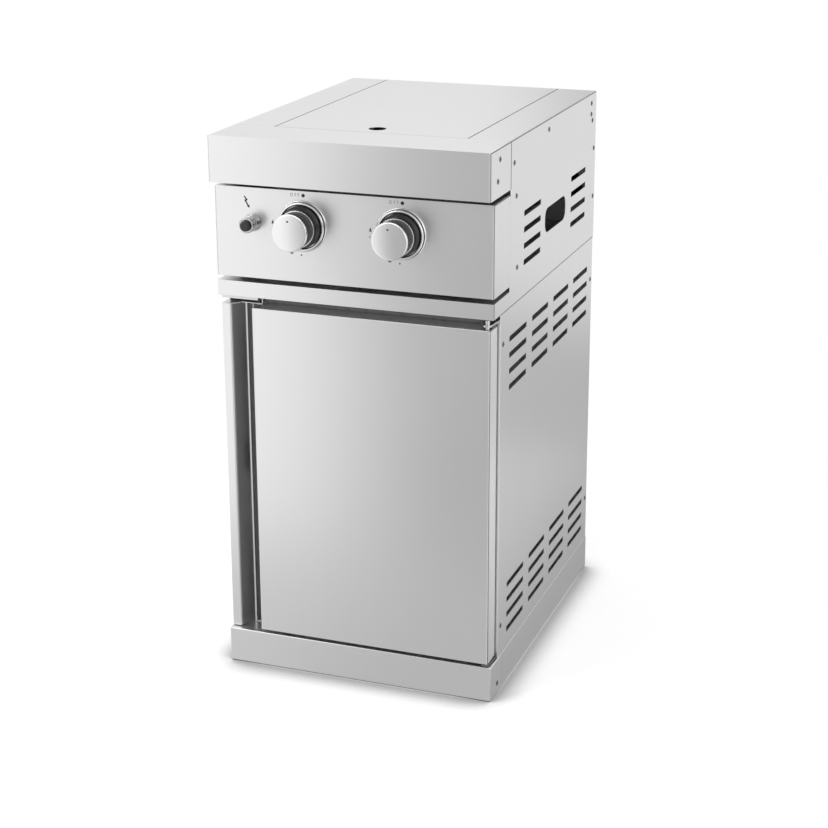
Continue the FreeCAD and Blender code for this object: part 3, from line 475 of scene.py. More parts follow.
def make_finishes(colours):
    """One material for each finish, and one for each direction of brushing."""
    lo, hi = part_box("left_knob_cap")
    half_spread, level = abs(lo.x + hi.x) / 2, (lo.z + hi.z) / 2
    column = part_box("grip_column")[0]
    # Where the grip column's hollow lies, which its finish darkens with painted shade.
    hollow = (column.x + 29.5 * MM, column.y + 2.5 * MM)
    steel, zinc, chrome, foam = colours.steel, colours.zinc, colours.chrome, colours.foam
    for axis in "XYZ":
        FINISHES["outer_steel_" + axis] = brushed("brushed_steel_" + axis, steel, axis)
    FINISHES.update(
        # Painted dark reflection on the bends of outer corners.
        bend_dark=brushed("bend_dark", scaled(steel, 0.3), "Z"),
        # Painted reflection of the dark gap beside the lid.
        gap_dark=brushed("gap_dark", scaled(steel, 0.08), "Y"),
        # Painted glint on the bends of outer corners.
        bend_glint=cast("bend_glint", scaled(steel, 1.2), 0.35, 0.2, 900.0, 0.1),
        # Painted light on the side of the door beside its hinges.
        lit_side=brushed("lit_side", scaled(steel, 1.2), "Z"),
        # The grip column's steel, with painted shade in its hollow and past its lip.
        column_steel=brushed("column_steel", steel, "Z", hollow=hollow),
        # Rubber of the grommet, and the painted shade of the joint lines in the gaps.
        seal_rubber=moulded("seal_rubber", colours.rubber, 0.6),
        # Foam of the door seal, dark as painted shade for the band over the door.
        seal_foam=moulded("seal_foam", foam, 0.7),
        seal_lip=moulded("seal_lip", scaled(foam, 1.9), 0.6),
        letter_ink=printed("letter_ink", colours.letters),
        inner_steel=mill_finish("inner_sheet_steel", colours.inner, 0.42),
        bracket_steel=bright_metal("bright_zinc_steel", zinc, 0.22),
        # A copy of the bright steel darkened with painted shade, for the bottom hinge bracket.
        shaded_bracket=bright_metal("shaded_zinc_steel", scaled(zinc, 0.3), 0.3),
        burner_aluminium=cast("cast_aluminium", colours.aluminium, 0.45, 1.0, 600.0, 0.3),
        cast_iron=cast("enamelled_cast_iron", colours.iron, 0.42, 0.0),
        burner_brass=bright_metal("turned_brass", colours.brass, 0.26, 500.0),
        gas_pipe=brushed("drawn_tube", colours.pipe, "X", 0.36, 0.1, 0.04),
        spring_steel=bright_metal("spring_wire", scaled(zinc, 0.75), 0.28),
        knob_metal=spun_metal("satin_chrome", colours.satin, half_spread, level, 0.2),
        knob_dark=moulded("dark_knob_plastic", colours.plastic, 0.34),
        bezel_chrome=bright_metal("polished_chrome", chrome, 0.07, 700.0),
        collar_chrome=bright_metal("dark_chrome", scaled(chrome, 0.62), 0.12, 700.0),
        bezel_satin=bright_metal("satin_bezel", chrome, 0.15, 700.0),
        screw_steel=bright_metal("screw_steel", scaled(zinc, 0.3), 0.3),
        igniter_black=moulded("dark_button_plastic", colours.plastic, 0.3),
        electrode_ceramic=glazed("glazed_ceramic", colours.ceramic),
        bush_plastic=moulded("acetal", colours.acetal, 0.4),
        ink=printed("screen_ink", colours.ink),
    )


def finish_of(node):
    """Name of a node's finish, which is its slot's unless it is shaded or brushed."""
    slot = SLOT_OF[node]
    return SHADED.get(node) or (slot + "_" + GRAIN_OF[node] if slot == "outer_steel" else slot)


def body_of(node):
    return frame["nodes"][node]["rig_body"]


def centre_of(node):
    lo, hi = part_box(node)
    return (lo + hi) / 2


def radius_of(node):
    lo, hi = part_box(node)
    return (hi.x - lo.x) / 2


def placed(name, bm, materials):
    """Writes a finished bmesh to a new object at the origin."""
    mesh = bpy.data.meshes.new(name)
    bm.to_mesh(mesh)
    bm.free()
    for material in materials:
        mesh.materials.append(material)
    piece = bpy.data.objects.new(name, mesh)
    bpy.context.scene.collection.objects.link(piece)
    return piece


def new_piece(name, bm, body, slot, *finishes):
    """A piece that rides on a body of the frame, with its finishes by name."""
    piece = placed(name, bm, [FINISHES[finish] for finish in finishes])
    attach(piece, body)
    return piece


def stand_in(node, ending, bm, *finishes):
    """A piece that takes the place of a node, on its body."""
    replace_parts(new_piece(node + ending, bm, body_of(node), SLOT_OF[node], *finishes), node)


def welded_copy(node):
    """A copy of a CAD node with its loose triangles joined."""
    bm = bmesh.new()
    bm.from_mesh(frame["nodes"][node].data)
    bmesh.ops.remove_doubles(bm, verts=bm.verts, dist=WELD)
    return bm


def whole_copy(node):
    """A copy of a CAD node with its loose triangles joined and its flat faces made whole."""
    bm = welded_copy(node)
    flat = math.radians(FLAT_ANGLE)
    bmesh.ops.dissolve_limit(
        bm, angle_limit=flat, verts=bm.verts, edges=bm.edges, use_dissolve_boundaries=False
    )
    return bm


def bmesh_of(curve):
    """What a curve or a text looks like once it is a mesh."""
    holder = bpy.data.objects.new(curve.name, curve)
    mesh = bpy.data.meshes.new_from_object(holder)
    bpy.data.objects.remove(holder)
    bm = bmesh.new()
    bm.from_mesh(mesh)
    bpy.data.meshes.remove(mesh)
    return bm


def face_width(face):
    return 2 * face.calc_area() / max(face.calc_perimeter(), 0.001 * MM)


def sharp_edges(bm, least=FOLD_ANGLE):
    """Edges that stick out by more than that angle in degrees."""
    limit = math.radians(least)
    return [
        edge
        for edge in bm.edges
        if len(edge.link_faces) == 2 and edge.calc_face_angle_signed(0) > limit
    ]


def bevel(bm, edges, offset, segments):
    if edges:
        made = bmesh.ops.bevel(
            bm,
            geom=edges,
            offset=offset,
            offset_type="OFFSET",
            affect="EDGES",
            segments=segments,
            profile=0.5,
            material=-1,
            clamp_overlap=True,
        )
        return made["faces"]
    return []


def smooth_edges(bm, most):
    """Marks the edges at which the surface turns by less than that angle in degrees."""
    limit = math.radians(most)
    for edge in bm.edges:
        edge.smooth = len(edge.link_faces) == 2 and edge.calc_face_angle(0) < limit


def shade(bm, flat_width):
    """Narrow faces are curved stretches and shade smoothly, and wide ones are flat walls."""
    for face in bm.faces:
        face.smooth = face_width(face) < flat_width
    smooth_edges(bm, SHADE_ANGLE)


def fold_edges(bm, sizes):
    return [
        edge for edge in sharp_edges(bm) if min(face_width(f) for f in edge.link_faces) > sizes.rim_width
    ]


def outer_corner(edge, node):
    """True of a long fold at the front or the top, where a sheet turns back along a side."""
    lo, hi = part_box(node)
    a, b = (vert.co for vert in edge.verts)
    near, inner, least = 2 * MM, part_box("lid")[1].x + 2 * MM, 20 * MM
    outside = min(abs(a.x), abs(b.x)) > inner and abs(a.x - b.x) < near
    in_front, on_top = max(a.y, b.y) - lo.y < near, hi.z - min(a.z, b.z) < near
    return outside and edge.calc_length() > least and (in_front or on_top)


def paint_corner_reflections(bm, faces):
    """Paints a dark reflection and a bright glint as lines along the bend of an outer corner."""
    bm.normal_update()
    start, end = (math.sin(math.radians(angle)) for angle in (30, 75))
    for face in faces:
        outward = face.normal.x * face.calc_center_median().x > 0
        sideways = abs(face.normal.x)
        if outward and start < sideways < end:
            face.material_index = BEND_PAINTED_DARK_REFLECTION
        elif outward and sideways < start and abs(face.normal.z) < 0.1:
            face.material_index = BEND_PAINTED_GLINT


def paint_gap_reflection(bm):
    """Darkens the bends along the lid's sides with a painted reflection of the dark gap between them."""
    bm.normal_update()
    gap = (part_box("lid")[1].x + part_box("upper_side_right")[0].x) / 2
    for face in bm.faces:
        beside = abs(abs(face.calc_center_median().x) - gap) < 2 * MM
        if beside and abs(face.normal.x) > 0.08 and face.normal.z > 0.05:
            face.material_index = GAP_PAINTED_REFLECTION


def paint_lit_side(bm, node):
    """Brightens the side of the door that is seen beside its hinges with painted light."""
    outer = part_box(node)[1].x - 0.1 * MM
    for face in bm.faces:
        if face.normal.x > 0.99 and face.calc_center_median().x > outer:
            face.material_index = PAINTED_LIT_SIDE


def folded_sheet(node, sizes):
    """Sheet piece with its folds rounded to the bend radius and its cut edges broken."""
    bm = whole_copy(node)
    folds = fold_edges(bm, sizes)
    if node in ROUND_CORNERED:
        corners = [edge for edge in folds if outer_corner(edge, node)]
        paint_corner_reflections(bm, bevel(bm, corners, sizes.corner_radius, 6))
        folds = fold_edges(bm, sizes)
    bevel(bm, folds, sizes.bend_radius, 4)
    if node in JOINED:
        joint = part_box("front_cap")[1].y
        cut = sharp_edges(bm, CUT_ANGLE)
        rim = [e for e in cut if all(abs(v.co.y - joint) < 0.02 * MM for v in e.verts)]
        bevel(bm, rim, sizes.joint_break, 1)
    if node not in PIERCED:
        foot = 5 * MM
        cut = [e for e in sharp_edges(bm, CUT_ANGLE) if max(v.co.z for v in e.verts) > foot]
        bevel(bm, cut, sizes.cut_break, 1)
    if node in BESIDE_LID:
        paint_gap_reflection(bm)
    if node == "door_outer_skin":
        paint_lit_side(bm, node)
    shade(bm, sizes.rim_width)
    stand_in(node, "_sheet", bm, finish_of(node), *PAINTED_EDGE_LIGHT_AND_SHADE)


def softened(node, offset):
    """Cast, turned or moulded piece with all of its outer edges rounded."""
    bm = whole_copy(node)
    bevel(bm, sharp_edges(bm), offset, 3)
    shade(bm, offset * 3)
    stand_in(node, "_soft", bm, finish_of(node))


def turned(centre, outline, steps=96, rounding=0.0, segments=3, closed=False):
    """Spins an outline of (radius, y) points about the Y line through a centre."""
    bm = bmesh.new()
    verts = [bm.verts.new((centre.x + r, y, centre.z)) for r, y in outline]
    for a, b in zip(verts, verts[1:]):
        bm.edges.new((a, b))
    if closed:
        bm.edges.new((verts[-1], verts[0]))
    bmesh.ops.spin(
        bm,
        geom=bm.verts[:] + bm.edges[:],
        cent=(centre.x, 0, centre.z),
        axis=(0, 1, 0),
        angle=2 * math.pi,
        steps=steps,
        use_merge=True,
    )
    bmesh.ops.remove_doubles(bm, verts=bm.verts, dist=0.01 * MM)
    bmesh.ops.recalc_face_normals(bm, faces=bm.faces)
    if rounding:
        bevel(bm, sharp_edges(bm, TURNED_ANGLE), rounding, segments)
    for face in bm.faces:
        face.smooth = True
    smooth_edges(bm, TURNED_ANGLE)
    return bm


def steps_from(radius, y, *steps):
    """Points of an outline, each given in mm from one radius and y."""
    return [(radius + out * MM, y + back * MM) for out, back in steps]


def sleeve(bore, start, start_radius, end, end_radius):
    """Outline of a sleeve round a bore, from one y and outer radius to another."""
    return [(bore, start), (start_radius, start), (end_radius, end), (bore, end)]


class MODULE_OT_finishes(bpy.types.Operator):
    """Makes the materials and gives every carried-over node its own"""

    bl_idname = "burner_module.finishes"
    bl_label = "Materials"

    def execute(self, context):
        make_finishes(context.scene.module_colours)
        for name, node in frame["nodes"].items():
            material = FINISHES[finish_of(name)]
            if not node.material_slots:
                node.data.materials.append(material)
            for slot in node.material_slots:
                slot.material = material
        return {"FINISHED"}


class MODULE_OT_sheets(bpy.types.Operator):
    """Rounds the folds of the sheet steel panels and breaks their cut edges"""

    bl_idname = "burner_module.sheets"
    bl_label = "Sheet steel panels"

    def execute(self, context):
        for node in GRAIN_OF:
            folded_sheet(node, context.scene.module_sizes)
        return {"FINISHED"}


class MODULE_OT_hardware(bpy.types.Operator):
    """Softens the hinge brackets, the strike plate, the levelling feet and the catch"""

    bl_idname = "burner_module.hardware"
    bl_label = "Door hardware and feet"

    def execute(self, context):
        sizes = context.scene.module_sizes
        for node in ("top_hinge_bracket", "bottom_hinge_bracket", "strike_plate"):
            softened(node, sizes.cut_break * 1.4)
        for node in ("levelling_feet", "magnetic_catch"):
            softened(node, sizes.cut_break * 2)
        return {"FINISHED"}


class MODULE_OT_burners(bpy.types.Operator):
    """Rounds the castings of the burners and the pot supports"""

    bl_idname = "burner_module.burners"
    bl_label = "Burners and pot supports"

    def execute(self, context):
        sizes = context.scene.module_sizes
        for place in ("front", "rear"):
            softened(place + "_pot_support", sizes.casting_round)
            softened(place + "_burner_head", sizes.casting_round / 2)
            softened(place + "_burner_cap", sizes.casting_round)
        return {"FINISHED"}


class MODULE_OT_knobs(bpy.types.Operator):
    """Turns the knob caps, fluted grips, skirts and bezels"""

    bl_idname = "burner_module.knobs"
    bl_label = "Knobs and bezels"

    def execute(self, context):
        sizes = context.scene.module_sizes
        for side, _ in SIDES:
            self.cap(side, sizes)
            self.pip(side)
            self.grip(side, sizes)
            self.barrel(side)
            self.skirt(side)
            self.bezel(side)
        return {"FINISHED"}

    def cap(self, side, sizes):
        """Shallow domed cap with a rolled rim."""
        node = side + "_knob_cap"
        front, radius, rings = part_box(node)[0].y, radius_of(node), 8
        flat = radius - CAP_EDGE / 2
        shares = [i / rings for i in range(rings + 1)]
        dome = [(flat * share, front + CAP_SAG * share**2) for share in shares]
        back = front + sizes.cap_depth
        outline = dome + [(radius, front + CAP_SAG + CAP_EDGE), (radius, back), (0, back)]
        bm = turned(centre_of(node), outline, rounding=0.8 * MM, segments=4)
        stand_in(node, "_dome", bm, "knob_metal")

    def pip(self, side):
        """Raised dot near the top of the cap, on a dark seat of painted shade."""
        node = side + "_knob_cap"
        centre, share = centre_of(node), 0.62
        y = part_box(node)[0].y + CAP_SAG * share**2
        radius, high = 1.25 * MM, 0.8 * MM
        place = Vector((centre.x - 1.5 * MM, 0, centre.z + radius_of(node) * share))
        crown = [(0, y - high), (radius * 0.7, y - high * 0.8), (radius, y)]
        bm = turned(place, crown + [(radius, y + high), (0, y + high)], steps=20)
        new_piece(side + "_knob_pip", bm, body_of(node), "knob_metal", "screw_steel")
        # A dark ring of painted shade round the dot.
        seat = [(0, y - 0.12 * MM), (radius * 1.4, y - 0.02 * MM), (0, y + 1 * MM)]
        bm = turned(place, seat, steps=20)
        new_piece(side + "_knob_pip_painted_shade", bm, body_of(node), "knob_dark", "knob_dark")

    def band_start(self, node):
        """How far back the fluted ring of a grip ends and its chrome band starts."""
        lo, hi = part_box(node)
        return lo.y + (hi.y - lo.y) * 0.62

    def grip(self, side, sizes):
        """Dark groove and fluted ring behind the cap."""
        node = side + "_knob_grip"
        centre, radius = centre_of(node), radius_of(node)
        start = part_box(side + "_knob_cap")[0].y + sizes.cap_depth
        end, groove = self.band_start(node), 1.6 * MM
        outline = [(radius * 0.5, start), (radius - groove * 2, start)]
        outline += [(radius - groove * 2, start + groove), (radius, start + groove * 1.4)]
        outline += [(radius, end), (radius * 0.5, end)]
        bm = turned(centre, outline, steps=sizes.flute_count * 4, rounding=0.3 * MM, segments=2)
        for vert in bm.verts:
            across, up = vert.co.x - centre.x, vert.co.z - centre.z
            reach = math.hypot(across, up)
            if reach < radius - groove:
                continue
            wave = 0.5 - 0.5 * math.cos(sizes.flute_count * math.atan2(up, across))
            factor = (reach - sizes.flute_depth * wave) / reach
            vert.co.x, vert.co.z = centre.x + across * factor, centre.z + up * factor
        stand_in(node, "_fluted", bm, "knob_dark")

    def barrel(self, side):
        """Thin chrome band and smooth dark barrel behind the fluted ring."""
        node = side + "_knob_grip"
        centre, radius, back = centre_of(node), radius_of(node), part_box(node)[1].y
        start, band = self.band_start(node), 1.8 * MM
        ring = sleeve(radius * 0.5, start, radius + 1.3 * MM, start + band, radius + 1.3 * MM)
        bm = turned(centre, ring, rounding=0.5 * MM)
        new_piece(side + "_knob_band", bm, body_of(node), "knob_metal", "bezel_chrome")
        barrel = sleeve(radius * 0.5, start + band, radius + 0.4 * MM, back, radius + 1.2 * MM)
        bm = turned(centre, barrel, rounding=0.3 * MM)
        new_piece(side + "_knob_barrel", bm, body_of(node), "knob_dark", "knob_dark")

    def skirt(self, side):
        """Dark skirt that flares from the barrel to its rim."""
        node = side + "_knob_skirt"
        lo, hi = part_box(node)
        radius = radius_of(node)
        flare = steps_from(radius, lo.y, (-3.6, 0), (-2.4, 2.2), (0, 4.4))
        outline = [(radius * 0.3, lo.y), *flare, (radius, hi.y), (radius * 0.3, hi.y)]
        bm = turned(centre_of(node), outline, rounding=0.6 * MM)
        stand_in(node, "_flared", bm, "knob_dark")

    def bezel(self, side):
        """Tall half-round ring in front of a flatter flange ring, with a dark groove between them."""
        node = side + "_bezel"
        lo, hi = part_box(node)
        centre, outer = centre_of(node), radius_of(node)
        inner, crest, neck = outer - 7 * MM, outer - 2.4 * MM, outer - 3.4 * MM
        half, middle = (crest - inner) / 2, (crest + inner) / 2
        flange = hi.y - 3 * MM
        rise, steps = 2.4 * MM, 8
        shoulder = lo.y + rise
        turns = [math.pi * i / steps for i in range(steps + 1)]
        arc = [(middle - half * math.cos(turn), shoulder - rise * math.sin(turn)) for turn in turns]
        outline = [
            *steps_from(inner, hi.y, (-5, 0), (-5, -1), (0, -1)),
            *arc,
            (crest, shoulder + 0.8 * MM),
            (neck, shoulder + 1.4 * MM),
            (neck, flange + 0.6 * MM),
            *steps_from(outer, flange, (-1.4, 0), (-0.4, 0.5), (0, 1.4)),
            (outer, hi.y),
        ]
        bm = turned(centre, outline, steps=128, closed=True)
        stand_in(node, "_rings", bm, "bezel_satin")
        seal = steps_from(neck, shoulder, (0.05, 1.6), (0.5, 1.6))
        seal += steps_from(neck, flange, (0.9, 0.1), (0.9, 0.5), (0.05, 0.5))
        bm = turned(centre, seal, steps=128, closed=True)
        new_piece(side + "_bezel_seal", bm, body_of(node), "knob_dark", "knob_dark")


class MODULE_OT_igniter(bpy.types.Operator):
    """Turns the igniter's chrome collar and its dark button"""

    bl_idname = "burner_module.igniter"
    bl_label = "Igniter"

    def execute(self, context):
        self.collar()
        self.button()
        return {"FINISHED"}

    def collar(self):
        """Barrel with two grooves round it, which widens to a flange on the panel."""
        node = "igniter_collar"
        lo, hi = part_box(node)
        flange = radius_of(node) + 0.9 * MM
        bore, barrel = radius_of("igniter_button") + 0.3 * MM, flange - 2 * MM
        outline = [
            (bore, lo.y),
            *steps_from(barrel, lo.y, (-0.8, 0), (0, 1.2)),
            *steps_from(barrel, lo.y, (0, 5), (-1.2, 5.8), (-1.2, 8), (0, 8.8)),
            *steps_from(barrel, lo.y, (0, 11.5), (-1.2, 12.3), (-1.2, 14.5), (0, 15.3)),
            *steps_from(barrel, hi.y, (0.4, -6.5)),
            *steps_from(flange, hi.y, (-0.4, -4.2), (0, -2), (0, 0)),
            (bore, hi.y),
        ]
        bm = turned(centre_of(node), outline, rounding=0.35 * MM, closed=True)
        stand_in(node, "_turned", bm, "collar_chrome")

    def button(self):
        node = "igniter_button"
        lo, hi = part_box(node)
        radius = radius_of(node)
        crown = [(0, lo.y + 0.3 * MM), (radius * 0.5, lo.y + 0.1 * MM), (radius * 0.8, lo.y)]
        outline = crown + [(radius, lo.y + 1.2 * MM), (radius, hi.y), (0, hi.y)]
        bm = turned(centre_of(node), outline, rounding=0.5 * MM)
        stand_in(node, "_cap", bm, "igniter_black")


class MODULE_OT_springs(bpy.types.Operator):
    """Winds the springs behind the knobs and the igniter button"""

    bl_idname = "burner_module.springs"
    bl_label = "Springs"

    def execute(self, context):
        wire = context.scene.module_sizes.wire_radius
        for node in ("left_valve_spring", "right_valve_spring", "igniter_spring"):
            self.wind(node, wire)
        return {"FINISHED"}

    def wind(self, node, wire):
        lo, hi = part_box(node)
        centre, radius = centre_of(node), radius_of(node) - wire
        turns, per_turn = 6, 20
        count = turns * per_turn + 1
        curve = bpy.data.curves.new(node + "_path", "CURVE")
        curve.dimensions = "3D"
        curve.bevel_depth = wire
        curve.bevel_resolution = 2
        curve.use_fill_caps = True
        spline = curve.splines.new("POLY")
        spline.points.add(count - 1)
        for i, point in enumerate(spline.points):
            angle = 2 * math.pi * i / per_turn
            share = i / (count - 1)
            y = lo.y + wire + (hi.y - lo.y - 2 * wire) * share
            x, z = centre.x + radius * math.cos(angle), centre.z + radius * math.sin(angle)
            point.co = (x, y, z, 1)
        stand_in(node, "_coil", bmesh_of(curve), "spring_steel")


class MODULE_OT_seals(bpy.types.Operator):
    """Lays the joint lines, strips of painted shade in the gaps between the sheets, the door seal, the
    latch lip and the grommet
    """

    bl_idname = "burner_module.seals"
    bl_label = "Joints, door seal, latch lip and grommet"

    def execute(self, context):
        half = context.scene.module_sizes.gap_shade_width / 2
        self.side_gap_shades(half)
        self.cap_gap_shades(half)
        self.door_seal_and_shade()
        self.latch_lip()
        self.grommet()
        return {"FINISHED"}

    def bar(self, name, across, along, up, finish="seal_rubber"):
        """A straight strip of the cabinet between two X, two Y and two Z values."""
        lo, hi = (Vector(corner) for corner in zip(across, along, up))
        place = Matrix.Translation((lo + hi) / 2) @ Matrix.Diagonal((*(hi - lo), 1))
        bm = bmesh.new()
        bmesh.ops.create_cube(bm, size=1, matrix=place)
        new_piece(name, bm, "cabinet", "bush_plastic", finish)

    def pairs(self, *strips):
        """Strips on both sides: an ending, two distances from the middle, two Y and two Z values."""
        for side, sign in SIDES:
            for ending, near, far, along, up in strips:
                self.bar(side + ending, sorted((sign * near, sign * far)), along, up)

    def side_gap_shades(self, half):
        """Lines of painted shade in the gaps round the lid, behind the panel, under the upper sides and
        at the rail's ends.
        """
        lid_lo, lid_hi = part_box("lid")
        side_lo, side_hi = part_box("upper_side_right")
        panel_lo, panel_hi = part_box("control_panel")
        lower_lo, lower_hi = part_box("lower_side_right")
        rail_lo, rail_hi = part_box("cross_rail")
        cap_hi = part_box("front_cap")[1]
        gap_x, gap_y = (lid_hi.x + side_lo.x) / 2, (lid_lo.y + cap_hi.y) / 2
        sunk, lip = (cap_hi.z - 0.3 * MM, cap_hi.z - 0.06 * MM), 0.4 * MM
        back, outer, edge = side_hi.y - 1.5 * MM, side_hi.x, lower_hi.x
        rear, under, seam = panel_hi.y + 0.03 * MM, side_lo.z - SKIN, rail_lo.y + 1 * MM
        behind, below = (rear, rear + 0.54 * MM), (under - 1.4 * MM, under)
        beside = (seam, seam + WIDE_GAP_SHADE)
        self.pairs(
            ("_lid_gap_shade", gap_x - half - lip, gap_x + half, (gap_y, back), sunk),
            ("_panel_gap_shade", outer - 1.1 * MM, outer - SKIN, behind, (panel_lo.z, panel_hi.z)),
            ("_side_gap_shade", edge - 0.2 * MM, edge + 0.85 * MM, (lower_lo.y, back), below),
            ("_rail_gap_shade", outer - 1 * MM, outer + SKIN, beside, (side_lo.z, rail_hi.z)),
        )
        self.bar("lid_front_gap_shade", (-gap_x, gap_x), (gap_y - half, gap_y + half + lip), sunk)

    def cap_gap_shades(self, half):
        """Lines of painted shade where the cap ends: sunk in the broken edges on top, just proud of the
        sides.
        """
        cap_lo, cap_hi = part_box("front_cap")
        side_lo, side_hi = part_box("upper_side_right")
        fine = (cap_hi.y - half, cap_hi.y + half)
        wide = (cap_hi.y - WIDE_GAP_SHADE / 2, cap_hi.y + WIDE_GAP_SHADE / 2)
        sunk, whole = (cap_hi.z - 1 * MM, cap_hi.z - 0.04 * MM), (cap_lo.z, cap_hi.z - 1.5 * MM)
        self.pairs(
            ("_strip_gap_shade", side_lo.x + 0.4 * MM, side_hi.x - 1.5 * MM, fine, sunk),
            ("_cap_gap_shade", side_hi.x - 1 * MM, side_hi.x + SKIN, wide, whole),
        )

    def door_seal_and_shade(self):
        """Foam strip with a paler lip on the stop behind the top of the door; its dark foam is also
        painted shade for the band over the door.
        """
        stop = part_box("cross_rail")[1].y - 1.2 * MM
        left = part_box("latch_bracket")[1].x + 2 * MM
        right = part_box("top_hinge_bracket")[0].x - 2 * MM
        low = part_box("door_outer_skin")[1].z - 12 * MM
        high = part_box("upper_side_right")[0].z - 0.5 * MM
        foam = (stop - 2 * MM, stop - 0.02 * MM)
        self.bar("door_seal_and_shade", (left, right), foam, (low, high), "seal_foam")
        edge = (stop - 3 * MM, stop - 2.05 * MM)
        self.bar("door_seal_lip", (left, right), edge, (high - 4 * MM, high), "seal_lip")

    def latch_lip(self):
        """Upturned front edge of the latch bracket, just under the rail."""
        lo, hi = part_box("latch_bracket")
        along, up = (lo.y + 0.4 * MM, lo.y + 1.4 * MM), (hi.z - 0.02 * MM, hi.z + 4 * MM)
        self.bar("latch_lip", (lo.x + 1 * MM, hi.x - 1 * MM), along, up, "bracket_steel")

    def grommet(self):
        """Rubber ring that closes the hole in the back round the gas inlet."""
        node = "gas_inlet_fitting"
        bore, outer, wall = radius_of(node), 24 * MM, 1.2 * MM
        start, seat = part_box(node)[0].y + 12 * MM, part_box("upper_back")[0].y - SKIN
        outline = [(bore + 0.1 * MM, start), (bore + 0.1 * MM + wall, start)]
        outline += [(outer, seat - wall), (outer, seat), (outer - 3 * MM, seat)]
        bm = turned(centre_of(node), outline, steps=48, rounding=0.3 * MM, segments=2, closed=True)
        new_piece("inlet_grommet", bm, "cabinet", "bush_plastic", "seal_rubber")


class MODULE_OT_screws(bpy.types.Operator):
    """Gives the side screws round heads with a dark cross of painted shade for a cross recess"""

    bl_idname = "burner_module.screws"
    bl_label = "Side screws"

    def execute(self, context):
        source = welded_copy("side_screws")
        bm = bmesh.new()
        for lo, hi in self.islands(source):
            self.screw(bm, lo, hi)
        source.free()
        stand_in("side_screws", "_crossed", bm, "screw_steel", "ink")
        return {"FINISHED"}

    def islands(self, bm):
        """Lowest and highest corner of each separate solid."""
        left, found = set(bm.verts), []
        while left:
            stack = [left.pop()]
            island = list(stack)
            while stack:
                near = {v for edge in stack.pop().link_edges for v in edge.verts} & left
                left -= near
                stack += near
                island += near
            lo = Vector([min(v.co[i] for v in island) for i in range(3)])
            hi = Vector([max(v.co[i] for v in island) for i in range(3)])
            found.append((lo, hi))
        return sorted(found, key=lambda pair: tuple(pair[0]))

    def screw(self, bm, lo, hi):
        """Shank and head, with painted shade: a dark ring under the head and a dark cross in it.

        It is made along +Z and then turned to its side of the module.
        """
        side = 1 if lo.x > 0 else -1
        radius, proud, shank_radius = (hi.y - lo.y) / 2, 1.1 * MM, 1.5 * MM
        tip, outer = (lo.x, hi.x) if side > 0 else (hi.x, lo.x)
        seat = outer - side * proud
        steel = self.drum(bm, radius, radius, 0, proud * 0.5)
        steel += self.drum(bm, radius, radius * 0.74, proud * 0.5, proud * 0.98)
        steel += self.drum(bm, shank_radius, shank_radius, -abs(seat - tip), 0)
        # Painted shade: a dark ring under the head and a dark cross that stands for the recess.
        dark = self.drum(bm, radius * 1.28, radius * 1.28, 0.02 * MM, 0.22 * MM)
        for length, width in ((radius * 1.2, radius * 0.34), (radius * 0.34, radius * 1.2)):
            spread = Matrix.Diagonal((length, width, proud * 0.5, 1))
            arm = Matrix.Translation((0, 0, proud * 0.75)) @ spread
            dark += bmesh.ops.create_cube(bm, size=1, matrix=arm)["verts"]
        for face in {f for v in dark for f in v.link_faces}:
            face.material_index = SCREW_PAINTED_SHADE
        middle = (lo + hi) / 2
        turn = Matrix.Rotation(math.pi / 2 * side, 4, "Y")
        place = Matrix.Translation((seat, middle.y, middle.z)) @ turn
        bmesh.ops.transform(bm, matrix=place, verts=steel + dark)

    def drum(self, bm, foot_radius, top_radius, foot, top):
        made = bmesh.ops.create_cone(
            bm,
            cap_ends=True,
            segments=20,
            radius1=foot_radius,
            radius2=top_radius,
            depth=top - foot,
            matrix=Matrix.Translation((0, 0, (foot + top) / 2)),
        )
        return made["verts"]


def upright(place):
    """Turns what is drawn flat about the origin to face the front, at an X, Y and Z."""
    return Matrix.Translation(place) @ Matrix.Rotation(math.pi / 2, 4, "X")


